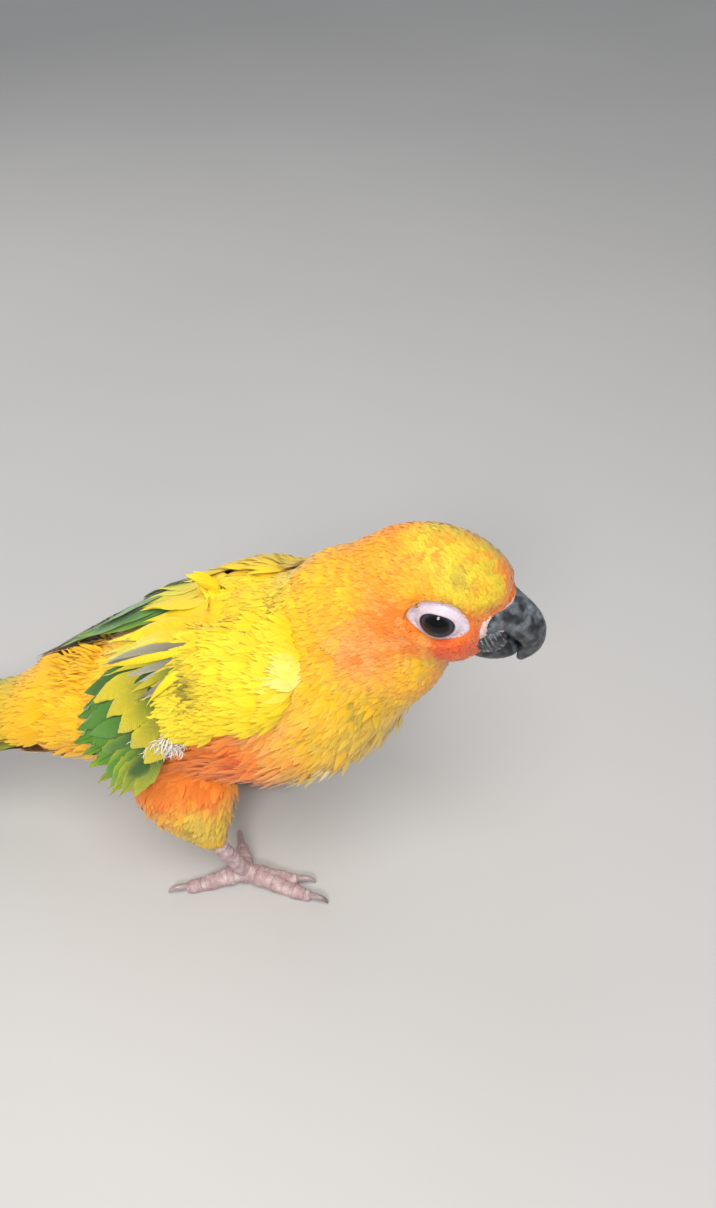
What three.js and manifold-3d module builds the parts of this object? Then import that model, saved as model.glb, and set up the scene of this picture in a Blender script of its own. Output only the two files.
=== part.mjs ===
// A sun conure standing still, leaning forward over its feet with its long tail held out behind.
// Millimetres, +X ahead of the bird, +Y to its left, +Z up. The bird is modelled with its feet near x 0 on
// the plane z 0, and the whole group is then moved so that its box stands centred on the origin.
import * as THREE from "three";
import { mergeVertices } from "three/addons/utils/BufferGeometryUtils.js";
import Module from "manifold-3d";

const wasm = await Module();
wasm.setup();

const deg = THREE.MathUtils.degToRad;
const lerp = THREE.MathUtils.lerp;
const smooth = THREE.MathUtils.smoothstep;
const V = (x, y, z) => new THREE.Vector3(x, y, z);
const bend = (...points) => new THREE.CatmullRomCurve3(points, false, "centripetal");

// Driving dimensions of an adult bird, about 300 from crown to tail tip
const gap = 0.3;
const facet = 0.05;
const breast_half = 27.5;
const belly_half = 22.5;
const head_half = V(19.6, 13.4, 14.6);
const eye_radius = 4.6;
const eye_side = 9.1;
const ring_half = V(6.8, 0.9, 5.7);
const eye_opening = 3.75;
const bill_base = 12.9;
const bill_tilt = 12;
const cere_thick = 1.7;
const tail_length = 140;
const ankle = V(-4.5, 18, 19);
const foot_right_at = V(1, -16.3, 0);
const foot_left_at = V(-15, 20.5, 0);
const toe_lengths = [11, 16, 21.5, 18.5];
const toe_headings = [113, 3, -11, -158];
const claw_length = 5.8;
const floor_flat = 0.5;

const colours = {
  crown: 0xf0b020,
  nape: 0xf2a21c,
  breast: 0xf2b41c,
  rump: 0xf0b000,
  wing: 0xf0d018,
  tail: 0x8a9a38,
  thigh: 0xd99a20,
  skin: 0xb08a86,
  bill: 0x3c3f42,
  cere: 0xe0d2c8,
  ring: 0xf0e4e6,
  eye: 0x0c0a0c,
  claw: 0x6c625e,
};

function finish(colour, roughness = 0.75) {
  return new THREE.MeshStandardMaterial({ color: colour, roughness, metalness: 0 });
}

// Solids and meshes

// A closed geometry as a solid, turned round where its faces point inwards.
function solid(geometry) {
  const bare = new THREE.BufferGeometry();
  bare.setAttribute("position", geometry.getAttribute("position"));
  if (geometry.index) bare.setIndex(geometry.index);
  const merged = mergeVertices(bare, 1e-4);
  const vertProperties = merged.attributes.position.array;
  const all = merged.index.array;
  const triVerts = new Uint32Array(all).filter((v, i) => {
    const k = i - (i % 3);
    return all[k] !== all[k + 1] && all[k + 1] !== all[k + 2] && all[k] !== all[k + 2];
  });
  const made = new wasm.Manifold(new wasm.Mesh({ numProp: 3, vertProperties, triVerts }));
  if (made.volume() > 0) return made;
  for (let i = 0; i < triVerts.length; i += 3)
    [triVerts[i + 1], triVerts[i + 2]] = [triVerts[i + 2], triVerts[i + 1]];
  return new wasm.Manifold(new wasm.Mesh({ numProp: 3, vertProperties, triVerts }));
}

function largest(made) {
  return made.decompose().reduce((a, b) => (b.volume() > a.volume() ? b : a));
}

function joined(parts) {
  return wasm.Manifold.union(parts);
}

function less(made, ...cutters) {
  return cutters.reduce((kept, cutter) => kept.subtract(cutter), made);
}

function moved(made, matrix) {
  return made.transform(matrix.elements);
}

// A named mesh of a solid that is given where it stands on the bird. A turned group's own place is taken
// out of the vertices again.
function mesh(name, made, material, place = new THREE.Matrix4()) {
  const { numProp, vertProperties, triVerts } = largest(largest(made).simplify(facet)).getMesh();
  const geometry = new THREE.BufferGeometry();
  const buffer = new THREE.InterleavedBuffer(vertProperties, numProp);
  geometry.setAttribute("position", new THREE.InterleavedBufferAttribute(buffer, 3, 0));
  geometry.setIndex(new THREE.BufferAttribute(triVerts, 1));
  const own = geometry.toNonIndexed().applyMatrix4(place.clone().invert());
  own.computeVertexNormals();
  const result = new THREE.Mesh(own, material);
  result.name = name;
  return result;
}

// Nose up by pitch, then to the left by yaw, both in degrees, after a roll to the right.
function turned(pitch, yaw = 0, roll = 0) {
  const euler = new THREE.Euler(deg(roll), deg(-pitch), deg(yaw), "ZYX");
  return new THREE.Quaternion().setFromEuler(euler);
}

// All that lies behind a plane, on the side its normal points away from.
function behind(point, normal, size = 500) {
  const box = new THREE.BoxGeometry(size, size, size).translate(0, 0, -size / 2);
  const turn = new THREE.Quaternion().setFromUnitVectors(V(0, 0, 1), normal.clone().normalize());
  return solid(box.applyQuaternion(turn).translate(point.x, point.y, point.z));
}

function ball(at, x, y = x, z = x, around = 20, along = 14) {
  const geometry = new THREE.SphereGeometry(1, around, along).rotateX(Math.PI / 2);
  return solid(geometry.scale(x, y, z).translate(at.x, at.y, at.z));
}

// Moves each vertex of a unit sphere to place(t, angle, share): t runs 0 to 1 from pole to pole, angle
// goes round, and share is how wide a form with rounded ends is there. Higher roundness is blunter.
function wrap(around, along, roundness, place) {
  const geometry = new THREE.SphereGeometry(1, around, along);
  const position = geometry.getAttribute("position");
  for (let i = 0; i < position.count; i++) {
    const x = position.getX(i);
    const z = position.getZ(i);
    const t = (1 - position.getY(i)) / 2;
    const share = Math.pow(Math.max(0, 1 - Math.pow(Math.abs(2 * t - 1), roundness)), 1 / roundness);
    const p = place(t, Math.atan2(z, x), x * x + z * z < 1e-9 ? 0 : share);
    position.setXYZ(i, p.x, p.y, p.z);
  }
  return geometry;
}

// A closed limb along a curve. width and depth give its half sizes along it, depth on the side of up.
function limb(curve, width, depth, { around = 12, along = 12, roundness = 4, up = V(0, 0, 1) } = {}) {
  const geometry = wrap(around, along, roundness, (t, angle, share) => {
    const at = curve.getPoint(t);
    const ahead = curve.getTangent(t);
    const side = V(0, 0, 0).crossVectors(up, ahead).normalize();
    const top = V(0, 0, 0).crossVectors(ahead, side);
    at.addScaledVector(side, Math.cos(angle) * share * width(t));
    return at.addScaledVector(top, Math.sin(angle) * share * depth(t));
  });
  return solid(geometry);
}

// The value at t of a row of numbers spread evenly from 0 to 1.
function along(t, ...values) {
  const k = Math.min(values.length - 2, Math.floor(t * (values.length - 1)));
  return lerp(values[k], values[k + 1], t * (values.length - 1) - k);
}

// Turns the diagonals of a wrapped form's lower half to lie like those of its upper half, so that the two
// faces of a thin bent vane never cross.
function alike(geometry, around) {
  const index = geometry.index.array;
  for (let i = 3 * around; i < index.length - 3 * around; i += 6) {
    const [a, b, d, , c] = index.slice(i, i + 5);
    if (b % (around + 1) >= around / 2) index.set([a, b, c, a, c, d], i);
  }
  return geometry;
}

// A feather with sharp edges and a raised middle. path(t) gives its middle and up(t, at) its upper side.
// Its half width runs through the shares in taper, and roll lifts the edge on its right, seen from the root.
function vane(path, up, { half, taper, roll = 0, camber = 0.015, thick = 0.3, blunt = 4, rows = 6 }) {
  const step = 0.02;
  const geometry = wrap(4, rows, blunt, (t, angle, share) => {
    const at = path(t);
    const ahead = path(Math.min(1, t + step)).sub(path(Math.max(0, t - step)));
    const top = up(t, at);
    const side = V(0, 0, 0).crossVectors(ahead, top).normalize();
    const wide = Math.cos(angle) * share * half * along(t, ...taper);
    const lift = wide * Math.tan(deg(roll)) - camber * wide * wide;
    const skin = Math.sin(angle) * thick * Math.min(1, 2 * share);
    return at.addScaledVector(side, wide).addScaledVector(top, lift + skin);
  });
  return solid(alike(geometry, 4));
}

// Numbers between -1 and 1 that look random and are the same in every run.
function wobble(seed) {
  const x = Math.sin(seed * 12.9898 + 4.1414) * 43758.5453;
  return 2 * (x - Math.floor(x)) - 1;
}

// The feathered body: soft masses that melt into each other

const head_place = new THREE.Group();
head_place.name = "head_pieces";
head_place.position.set(57.2, -4.5, 116.1);
head_place.quaternion.copy(turned(-7.5, -6.1, -5.4));
head_place.updateMatrix();
const on_head = (x, y, z) => V(x, y, z).applyMatrix4(head_place.matrix);

const masses = [
  { at: V(16, 0, 77.5), half: V(36, breast_half, 28.5), turn: turned(29) },
  { at: V(-12, 0, 65.5), half: V(38, belly_half, 23.5), turn: turned(24) },
  { at: V(-44, 0, 57.5), half: V(28, 15.5, 13.5), turn: turned(24) },
  { at: V(-67, 0, 49), half: V(31, 12.5, 7), turn: turned(20) },
  { at: V(36.5, -2, 101.8), half: V(23, 17, 20), turn: turned(46, -4) },
  { at: V(44, -3, 94), half: V(17, 15.5, 13.5), turn: turned(48, -4) },
  { at: on_head(-3.2, 0, 1), half: head_half, turn: head_place.quaternion.clone() },
  { at: on_head(4, 0, -7), half: V(10.5, 10, 8), turn: head_place.quaternion.clone() },
];
masses.forEach((mass) => {
  mass.turn.invert();
});
const melt = 5;

function outside(p, mass) {
  const near = p.clone().sub(mass.at).applyQuaternion(mass.turn).divide(mass.half);
  const k = near.length();
  return k < 1e-6 ? -mass.half.z : (k * (k - 1)) / near.divide(mass.half).length();
}

// How far a point lies outside the plumage, less than 0 inside it.
function clear(p) {
  return masses.reduce((least, mass) => {
    const d = outside(p, mass);
    const h = Math.max(melt - Math.abs(least - d), 0) / melt;
    return Math.min(least, d) - (h * h * melt) / 4;
  }, 1e3);
}

function outward(p, step = 0.05) {
  const by = (x, y, z) => clear(V(p.x + x, p.y + y, p.z + z)) - clear(V(p.x - x, p.y - y, p.z - z));
  return V(by(step, 0, 0), by(0, step, 0), by(0, 0, step)).normalize();
}

// A point moved out until it lies at least lift off the plumage.
function laid(p, lift) {
  const at = p.clone();
  for (let i = 0; i < 6 && clear(at) < lift - 0.01; i++)
    at.addScaledVector(outward(at), lift - clear(at));
  return at;
}

// A point moved in or out along the shape of the plumage until it lies at lift from it.
function onto(p, lift) {
  const at = p.clone();
  for (let i = 0; i < 6; i++) at.addScaledVector(outward(at), lift - clear(at));
  return at;
}

// The axis of the body from the root of the tail to the forehead, with the pitch and yaw of its slices
const stations = [
  { at: V(-95.7, 0, 38.6), pitch: 20, yaw: 0 },
  { at: V(-68, 0, 48.7), pitch: 20, yaw: 0 },
  { at: V(-44, 0, 57.5), pitch: 24, yaw: 0 },
  { at: V(-14, 0, 66.5), pitch: 25, yaw: 0 },
  { at: V(14, 0, 78), pitch: 29, yaw: 0 },
  { at: V(36, -2, 96), pitch: 42, yaw: -3 },
  { at: V(50, -3.6, 111.5), pitch: 24, yaw: -5 },
  { at: V(61, -4.8, 115.5), pitch: 0, yaw: -6 },
  { at: on_head(16.1, 0, 0.9), pitch: -7.5, yaw: -6.1 },
];
const spine = new THREE.CatmullRomCurve3(stations.map((s) => s.at));

function plumage(offset, rows = 36, around = 24) {
  const geometry = wrap(around, rows, 2, (t, angle, share) => {
    const even = lerp(0.003, 0.997, Math.acos(1 - 2 * t) / Math.PI);
    const at = spine.getPoint(even);
    if (share === 0) return at.addScaledVector(spine.getTangent(even), t < 0.5 ? -offset : offset);
    const k = Math.min(stations.length - 2, Math.floor(even * (stations.length - 1)));
    const part = smooth(even * (stations.length - 1) - k, 0, 1);
    const turn = turned(
      lerp(stations[k].pitch, stations[k + 1].pitch, part),
      lerp(stations[k].yaw, stations[k + 1].yaw, part),
    );
    const out = V(0, Math.cos(angle), Math.sin(angle)).applyQuaternion(turn);
    let near = 0;
    let far = 60;
    for (let i = 0; i < 24; i++) {
      const middle = (near + far) / 2;
      if (clear(at.clone().addScaledVector(out, middle)) < offset) near = middle;
      else far = middle;
    }
    return at.addScaledVector(out, near);
  });
  return solid(geometry);
}

const coat = plumage(0);
const coat_grown = plumage(gap);

// Planes that part the head, neck, torso, rump and tail
const partings = [
  { at: V(43.5, -3, 106), normal: V(0.8, -0.07, 0.6) },
  { at: V(25, -1, 90), normal: V(0.84, -0.03, 0.54) },
  { at: V(-33, 0, 61), normal: V(0.9, 0, 0.43) },
  { at: V(-54, 0, 54), normal: V(0.92, 0, 0.39) },
];
const wedges = partings.map(({ at, normal }) => {
  const n = normal.clone().normalize();
  return {
    ahead: behind(at.clone().addScaledVector(n, gap / 2), n.clone().negate()),
    back: behind(at.clone().addScaledVector(n, -gap / 2), n),
  };
});

// Eyes, each with a bare ring round it

function eyeSide(side) {
  const socket = on_head(0, side * eye_side, 0);
  const place = new THREE.Matrix4().compose(socket, head_place.quaternion, V(1, 1, 1));
  const tilt = new THREE.Matrix4().makeRotationZ(deg(side * -4));
  place.multiply(tilt);
  const reach = 3.1;
  const dome = (grow) => {
    const rim = [
      [0, reach - 2.4 - grow],
      [0.93, reach - 2.2 - grow],
      [1 + grow / ring_half.x, reach - 0.3],
      [0.93, reach + 0.45 + grow],
      [0.66, reach + 1.25 + grow],
      [0.3, reach + 1.5 + grow],
      [0, reach + 1.5 + grow],
    ].map(([r, y]) => new THREE.Vector2(r, y));
    const geometry = new THREE.LatheGeometry(rim, 18);
    geometry.scale(ring_half.x, side, ring_half.z);
    return solid(geometry);
  };
  const round = (r) => ball(V(0, 0, 0), r, r, r, 18, 11);
  const bore = new THREE.CylinderGeometry(1, 1, 12, 18);
  bore.scale(eye_opening, 1, (eye_opening * ring_half.z) / ring_half.x).translate(0, side * 6, 0);
  const ring = less(dome(0), round(eye_radius + gap), solid(bore));
  const front = (offset) => behind(V(0, side * offset, 0), V(0, -side, 0));
  return {
    eye: moved(round(eye_radius).intersect(front(1)), place),
    ring: moved(ring, place),
    socket: moved(joined([dome(gap), round(eye_radius + gap).intersect(front(1 - gap))]), place),
  };
}

const eyes = { right: eyeSide(-1), left: eyeSide(1) };

// Bill, in the head's own frame: a tilted base plane, the cere on it and both halves of the bill

const bill_normal = V(Math.cos(deg(bill_tilt)), 0, -Math.sin(deg(bill_tilt)));
const billPlane = (offset) => V(bill_base, 0, 0).addScaledVector(bill_normal, offset);
const before_base = behind(billPlane(0), bill_normal.clone().negate());

function billUpper(grow) {
  const curve = bend(V(10.5, 0, -0.4), V(14.5, 0, -0.8), V(18.7, 0, -3.4), V(20.6, 0, -8), V(19.4, 0, -13.2));
  return limb(
    curve,
    (t) => along(t, 5.7, 5.7, 5.2, 4.2, 3, 1.9, 0.9) + grow,
    (t) => along(t, 5.4, 5.5, 5.1, 4.2, 3.1, 2, 0.9) + grow,
    { around: 16, along: 13, roundness: 5, up: V(0.8, 0, 0.6) },
  );
}

function billLower(grow) {
  const curve = bend(V(6, 0, -7.8), V(11.5, 0, -9.9), V(17.8, 0, -9.3));
  return limb(
    curve,
    (t) => along(t, 5.4, 5.3, 4.8, 3.5) + grow,
    (t) => along(t, 3.7, 3.8, 3.5, 2.3) + grow,
    { around: 14, along: 10, roundness: 4 },
  );
}

function cereDisc(grow) {
  return limb(
    bend(V(bill_base - 2.6, 0, -0.5), V(bill_base + cere_thick + 0.6 + grow, 0, -0.8)),
    () => 6.5 + grow,
    () => 6.4 + grow,
    { around: 20, along: 8, roundness: 6 },
  );
}

const nostrils = [-1, 1].map((side) => ball(V(bill_base + 2.2, side * 2.8, 3.8), 1.2, 0.7, 0.6, 8, 6));
const cere = less(
  cereDisc(0).intersect(behind(billPlane(cere_thick), bill_normal)),
  behind(billPlane(gap), bill_normal),
  ...nostrils,
);
const upper = less(billUpper(0), behind(billPlane(cere_thick + gap), bill_normal));
const lower = less(billLower(0), billUpper(gap), cereDisc(gap));
const bill_socket = joined([
  before_base.intersect(cereDisc(gap)),
  before_base.intersect(billUpper(gap)),
  billLower(gap),
]);

// Legs: a feathered thigh, then the bare shank with four toes, two ahead and two behind

function leg(side, foot_at) {
  const knee = V(-13 + 0.5 * (foot_at.x - 1), side * 12.5, 57);
  const heel = V(ankle.x + foot_at.x - 1, side * ankle.y, ankle.z);
  const thigh_curve = bend(knee, V(lerp(knee.x, heel.x, 0.2), side * 16.5, 38), heel);
  const thighWith = (grow) =>
    limb(
      thigh_curve,
      (t) => along(t, 10, 10, 8.5, 6.2, 3.9) + grow,
      (t) => along(t, 17, 17, 14, 9, 4.3) + grow,
      { around: 16, along: 12, roundness: 3.5, up: V(-1, 0, 0) },
    );
  const shank = (grow) =>
    limb(
      bend(heel.clone().add(V(-1.6, 0, 3)), heel, V(foot_at.x, foot_at.y, 4.4)),
      (t) => along(t, 2, 2.2, 2.2, 2.8) + grow,
      (t) => along(t, 2.1, 2.3, 2.3, 2.6) + grow,
      { around: 10, along: 6, roundness: 5, up: V(1, 0, 0) },
    );
  const toes = toe_lengths.map((length, i) => {
    const heading = deg(side * -toe_headings[i]);
    const ahead = V(Math.cos(heading), Math.sin(heading), 0);
    const step = (share, z) => foot_at.clone().addScaledVector(ahead, share * length).setZ(z);
    const curve = bend(foot_at.clone().setZ(4.2), step(0.3, 3.4), step(0.65, 2.2), step(1, 1.9));
    const pads = (t) => 1 + 0.08 * Math.cos(t * Math.PI * 2 * (length / 5.5));
    const toe = limb(
      curve,
      (t) => along(t, 2.8, 2.5, 2.15, 1.85) * pads(t),
      (t) => along(t, 2.7, 2.5, 2.2, 1.95) * pads(t),
      { around: 8, along: 10, roundness: 6 },
    );
    const claw_curve = bend(
      step(1 - 1.8 / length, 2.4),
      step(1 + 1.6 / length, 3.2),
      step(1 + (0.66 * claw_length) / length, 3.1),
      step(1 + (0.92 * claw_length) / length, 1.7),
    );
    const claw = (grow) =>
      limb(
        claw_curve,
        (t) => along(t, 1, 1, 0.75, 0.35) + grow,
        (t) => along(t, 1.2, 1.15, 0.85, 0.35) + grow,
        { around: 6, along: 6, roundness: 4 },
      );
    return { toe, claw: claw(0), claw_grown: claw(gap) };
  });
  const floor = behind(V(0, 0, floor_flat), V(0, 0, 1));
  const sole = ball(foot_at.clone().setZ(3.6), 3.3, 3.1, 3.2, 10, 7);
  const fused = joined([shank(0), sole, ...toes.map((t) => t.toe)]);
  return {
    thigh: less(thighWith(0), coat_grown, shank(gap)),
    foot: less(fused, floor, ...toes.map((t) => t.claw_grown)),
    claws: toes.map((t) => less(t.claw, floor)),
  };
}

const legs = { right: leg(-1, foot_right_at), left: leg(1, foot_left_at) };

// Wings. Each is a lens of small coverts laid on the body, with tiers of longer feathers rooted in it. A
// tier's roots and tips lie on two curves, and its feathers follow the body between them.

function tier(side, count, roots, tips, shape) {
  const from = bend(...roots);
  const to = bend(...tips);
  return Array.from({ length: count }, (_, i) => {
    const u = i / (count - 1);
    const root = onto(from.getPoint(u), shape.lift[0]);
    const tip = to.getPoint(u).add(V(wobble(i + count), 0, wobble(i + 2 * count)).multiplyScalar(0.6));
    const path = (t) => laid(root.clone().lerp(tip, t), lerp(...shape.lift, t));
    return vane(path, (t, at) => outward(at), { ...shape, roll: -side * shape.shingle });
  });
}

function wing(side) {
  const at = (x, y, z) => V(x, side * y, z);
  const drooping = side < 0;
  const curve = drooping
    ? bend(at(24, 22, 96), at(2, 22, 91), at(-26, 17, 82))
    : bend(at(24, 23, 92), at(2, 23, 87), at(-36, 15, 76));
  const width = [7, 11, 12, 11, 7];
  const thick = drooping ? 3 : 2.4;
  const lens = wrap(18, 12, 3, (t, angle, share) => {
    const point = onto(curve.getPoint(t), 0);
    const across = V(0, 0, 0).crossVectors(outward(point), curve.getTangent(t)).normalize();
    point.addScaledVector(across, Math.cos(angle) * share * along(t, ...width));
    const rise = Math.sin(angle) * Math.min(1, share * 1.3);
    return onto(point, rise < 0 ? rise * 1.6 : rise * thick);
  });
  const flight = drooping
    ? tier(
        side,
        8,
        [at(-3, 19, 92), at(1, 25, 84), at(1, 27.5, 77)],
        [at(-29, 15, 83), at(-33.5, 20.5, 71), at(-26, 27.5, 59), at(-20, 28.5, 55)],
        { half: 5.8, taper: [0.5, 0.8, 1, 0.95], lift: [1.1, 1.1], shingle: 8 },
      )
    : tier(
        side,
        9,
        [at(-3, 18, 93), at(1, 25, 84), at(1, 27.5, 77)],
        [at(-38, 4, 81), at(-62, 9, 61), at(-46, 20, 57)],
        { half: 5.6, taper: [0.5, 0.8, 1, 0.8], lift: [1.1, 1.1], shingle: 8 },
      );
  const greater = tier(
    side,
    6,
    [at(4, 16, 97), at(8, 22, 92), at(8, 25.5, 84.5)],
    [at(-26, 14, 86), at(-23, 22, 80), at(-8, 26, 79)],
    { half: 6, taper: [0.6, 0.9, 1, 0.95], lift: [1.4, 2.2], shingle: 8 },
  );
  const median = tier(
    side,
    5,
    [at(13, 16, 101), at(18, 21, 96), at(18, 24, 90)],
    [at(-10, 13, 97), at(-8, 21, 89), at(-3, 26, 84)],
    { half: 6, taper: [0.7, 0.95, 1, 0.9], lift: [1.6, drooping ? 3.6 : 3], shingle: 8 },
  );
  const scapular = tier(
    side,
    4,
    [at(14, 10, 104), at(14, 15, 101), at(12, 19, 97)],
    [at(-32, 3, 84), at(-31, 9, 84), at(-24, 15, 85)],
    { half: 5.6, taper: [0.6, 0.9, 1, 0.9], lift: [1.2, drooping ? 3.8 : 2.8], shingle: 8 },
  );
  const feathers = [...flight, ...greater, ...median, ...scapular];
  return less(joined([solid(lens), ...feathers]), coat_grown);
}

const wings = { right: wing(-1), left: wing(1) };

// Tail: twelve graduated feathers that bend down to just above the floor, the middle pair on top, with
// shorter coverts above and below their roots

const tail_curve = bend(V(-51, 0, 55), V(-96, 0, 40), V(-142, 0, 22), V(-187, 0, 9));
const tail_pairs = 6;
const tail_drop = 1.1;

const tail_feathers = [-1, 1].flatMap((side) =>
  Array.from({ length: tail_pairs }, (_, i) => {
    const length = tail_length * (1 - 0.105 * i) + wobble(i + 3 * side);
    const path = (t) => {
      const aside = side * lerp(1.4 + 1.2 * i, 2.6 + 1.5 * i, t);
      const at = tail_curve.getPointAt(Math.min(1, (t * length) / tail_curve.getLength()));
      return at.add(V(0, aside, 2 - tail_drop * (i + (side > 0 ? 0.5 : 0))));
    };
    const shape = { half: 5.8, taper: [0.6, 0.85, 0.95, 1, 0.9, 0.55], thick: 0.25, rows: 7 };
    return vane(path, () => V(0.35, 0, 1).normalize(), shape);
  }),
);

const tail_coverts = [1, -1].flatMap((top) =>
  Array.from({ length: 5 }, (_, i) => {
    const u = i / 2 - 1;
    const root = onto(V(-64, 7 * u, 50 + top * 9), -0.8);
    const tip = V(-93 - (top < 0 ? 12 : 0) + 9 * Math.abs(u), 8.5 * u, top > 0 ? 47 - u * u : 29);
    const path = (t) => laid(root.clone().lerp(tip, t), lerp(-0.6, 0.7, t));
    const shape = { half: 4.4, taper: [0.7, 1, 1, 0.7], blunt: 3, rows: 5 };
    return vane(path, (t, at) => outward(at), shape);
  }),
);

const head = less(coat.intersect(wedges[0].ahead), eyes.right.socket, eyes.left.socket,
  moved(bill_socket, head_place.matrix));
const neck = coat.intersect(wedges[0].back).intersect(wedges[1].ahead);
const torso = coat.intersect(wedges[1].back).intersect(wedges[2].ahead);
const rump = coat.intersect(wedges[2].back).intersect(wedges[3].ahead);
const tail = joined([coat, ...tail_feathers, ...tail_coverts]).intersect(wedges[3].back);

// The bird

const bird = new THREE.Group();
bird.name = "sun_conure";
bird.add(
  mesh("head", head, finish(colours.crown)),
  mesh("neck", neck, finish(colours.nape)),
  mesh("torso", torso, finish(colours.breast)),
  mesh("rump", rump, finish(colours.rump)),
  mesh("tail", tail, finish(colours.tail)),
);

const inHead = (name, made, material) => mesh(name, made, material, head_place.matrix);
head_place.add(
  inHead("bill_upper", moved(upper, head_place.matrix), finish(colours.bill, 0.4)),
  inHead("bill_lower", moved(lower, head_place.matrix), finish(colours.bill, 0.5)),
  inHead("cere", moved(cere, head_place.matrix), finish(colours.cere, 0.6)),
);

for (const side of ["right", "left"]) {
  head_place.add(
    inHead(`eye_${side}`, eyes[side].eye, finish(colours.eye, 0.08)),
    inHead(`eye_ring_${side}`, eyes[side].ring, finish(colours.ring, 0.7)),
  );
  bird.add(
    mesh(`wing_${side}`, wings[side], finish(colours.wing)),
    mesh(`thigh_${side}`, legs[side].thigh, finish(colours.thigh)),
    mesh(`foot_${side}`, legs[side].foot, finish(colours.skin, 0.65)),
  );
  legs[side].claws.forEach((claw, i) =>
    bird.add(mesh(`claw_${side}_${i + 1}`, claw, finish(colours.claw, 0.5))),
  );
}
bird.add(head_place);

const box = new THREE.Box3().setFromObject(bird);
const middle = box.getCenter(V(0, 0, 0));
bird.position.set(-middle.x, -middle.y, -box.min.z);

export default bird;
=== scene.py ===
import math

import bmesh
import bpy
import numpy as np
from mathutils import Matrix, Vector, noise
from mathutils.bvhtree import BVHTree


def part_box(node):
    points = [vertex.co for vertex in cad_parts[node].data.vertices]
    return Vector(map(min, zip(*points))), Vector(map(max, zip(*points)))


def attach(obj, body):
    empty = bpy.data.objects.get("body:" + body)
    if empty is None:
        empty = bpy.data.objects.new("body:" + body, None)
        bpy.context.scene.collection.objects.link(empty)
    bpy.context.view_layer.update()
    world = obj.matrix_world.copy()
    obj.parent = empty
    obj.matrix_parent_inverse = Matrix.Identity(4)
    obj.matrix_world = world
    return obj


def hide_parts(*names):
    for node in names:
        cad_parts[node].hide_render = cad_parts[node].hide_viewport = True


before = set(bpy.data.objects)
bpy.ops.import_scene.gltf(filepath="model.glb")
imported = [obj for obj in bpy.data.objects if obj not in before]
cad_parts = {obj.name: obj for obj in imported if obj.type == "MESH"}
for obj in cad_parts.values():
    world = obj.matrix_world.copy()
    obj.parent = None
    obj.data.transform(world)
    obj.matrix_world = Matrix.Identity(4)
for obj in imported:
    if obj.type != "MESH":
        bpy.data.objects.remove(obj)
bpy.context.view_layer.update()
scene = bpy.context.scene
scene.view_settings.view_transform = "Standard"

# Floor
# A plain pale floor, matt, with a faint cloudiness so that it isn't one flat tone.
# It lies at the level of the soles and runs far past the view.

floor_half = 1.6
floor_dim = (0.53, 0.52, 0.51)
floor_bright = (0.57, 0.56, 0.55)


def feed(made, value, socket):
    """Links a node's output to a socket, or sets a plain value on it."""
    if isinstance(value, bpy.types.NodeSocket):
        made.node_tree.links.new(value, socket)
    else:
        socket.default_value = value


def new_finish(name, **sockets):
    """A material and its shader, with values set on the shader's own sockets."""
    made = bpy.data.materials.new(name)
    made.use_nodes = True
    shader = made.node_tree.nodes["Principled BSDF"]
    for socket, value in sockets.items():
        shader.inputs[socket.replace("_", " ")].default_value = value
    return made, shader


def add_node(made, kind, **values):
    """A node with its values. Names with a capital are its sockets, and the others its settings."""
    node = made.node_tree.nodes.new("ShaderNode" + kind)
    for name, value in values.items():
        if name[0].isupper():
            feed(made, value, node.inputs[name.replace("_", " ")])
        else:
            setattr(node, name, value)
    return node


def ramp(made, factor, *stops):
    """A colour ramp with stops of (position, colour)."""
    node = add_node(made, "ValToRGB", Fac=factor)
    while len(node.color_ramp.elements) < len(stops):
        node.color_ramp.elements.new(0.5)
    for element, (position, colour) in zip(node.color_ramp.elements, stops):
        element.position = position
        element.color = (*colour, 1)
    return node.outputs["Color"]


def grain_of(made, scale, detail, roughness=0.5):
    """A noise that lies fixed in the piece; the scale is how many of its patches a metre holds."""
    place = add_node(made, "TexCoord").outputs["Object"]
    grain = add_node(made, "TexNoise", Vector=place, Scale=scale, Detail=detail, Roughness=roughness)
    return grain.outputs["Fac"]


def mesh_from(form, name):
    mesh = bpy.data.meshes.new(name)
    form.to_mesh(mesh)
    form.free()
    return mesh


def made_object(name, mesh, finish, slot=None, replaced=()):
    """A finished piece of the bird, at the origin, with its material, attached to the root body if it has a
    slot.
    """
    piece = bpy.data.objects.new(name, mesh)
    scene.collection.objects.link(piece)
    mesh.materials.clear()
    mesh.materials.append(finish)
    if slot:
        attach(piece, "root")
    if replaced:
        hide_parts(*replaced)
    return piece


floor_form = bmesh.new()
bmesh.ops.create_grid(floor_form, x_segments=4, y_segments=4, size=floor_half)
floor_finish, floor_shader = new_finish("pale_floor", Roughness=0.9)
floor_tone = ramp(floor_finish, grain_of(floor_finish, 3.0, 3.0), (0.3, floor_dim), (0.7, floor_bright))
feed(floor_finish, floor_tone, floor_shader.inputs["Base Color"])
floor = made_object("floor", mesh_from(floor_form, "floor"), floor_finish)

# Camera and light
# The camera stands above the bird's right side, at the photograph's angle. A broad soft key hangs high over
# it. A small weak fill high on its right makes the highlight in the eye, and another lights its back.

mm = 0.001
# the middle of the right eye ring in millimetres ahead, left and above the ground between the feet
ring_place = Vector((56.17, -16.16, 117.21))
ring_low, ring_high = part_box("eye_ring_right")
shift = (ring_low + ring_high) / 2 - ring_place * mm


def row(x, y, z):
    """A place given in millimetres ahead, left and above the ground between the feet, in the row frame."""
    return Vector((x, y, z)) * mm + shift


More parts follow.
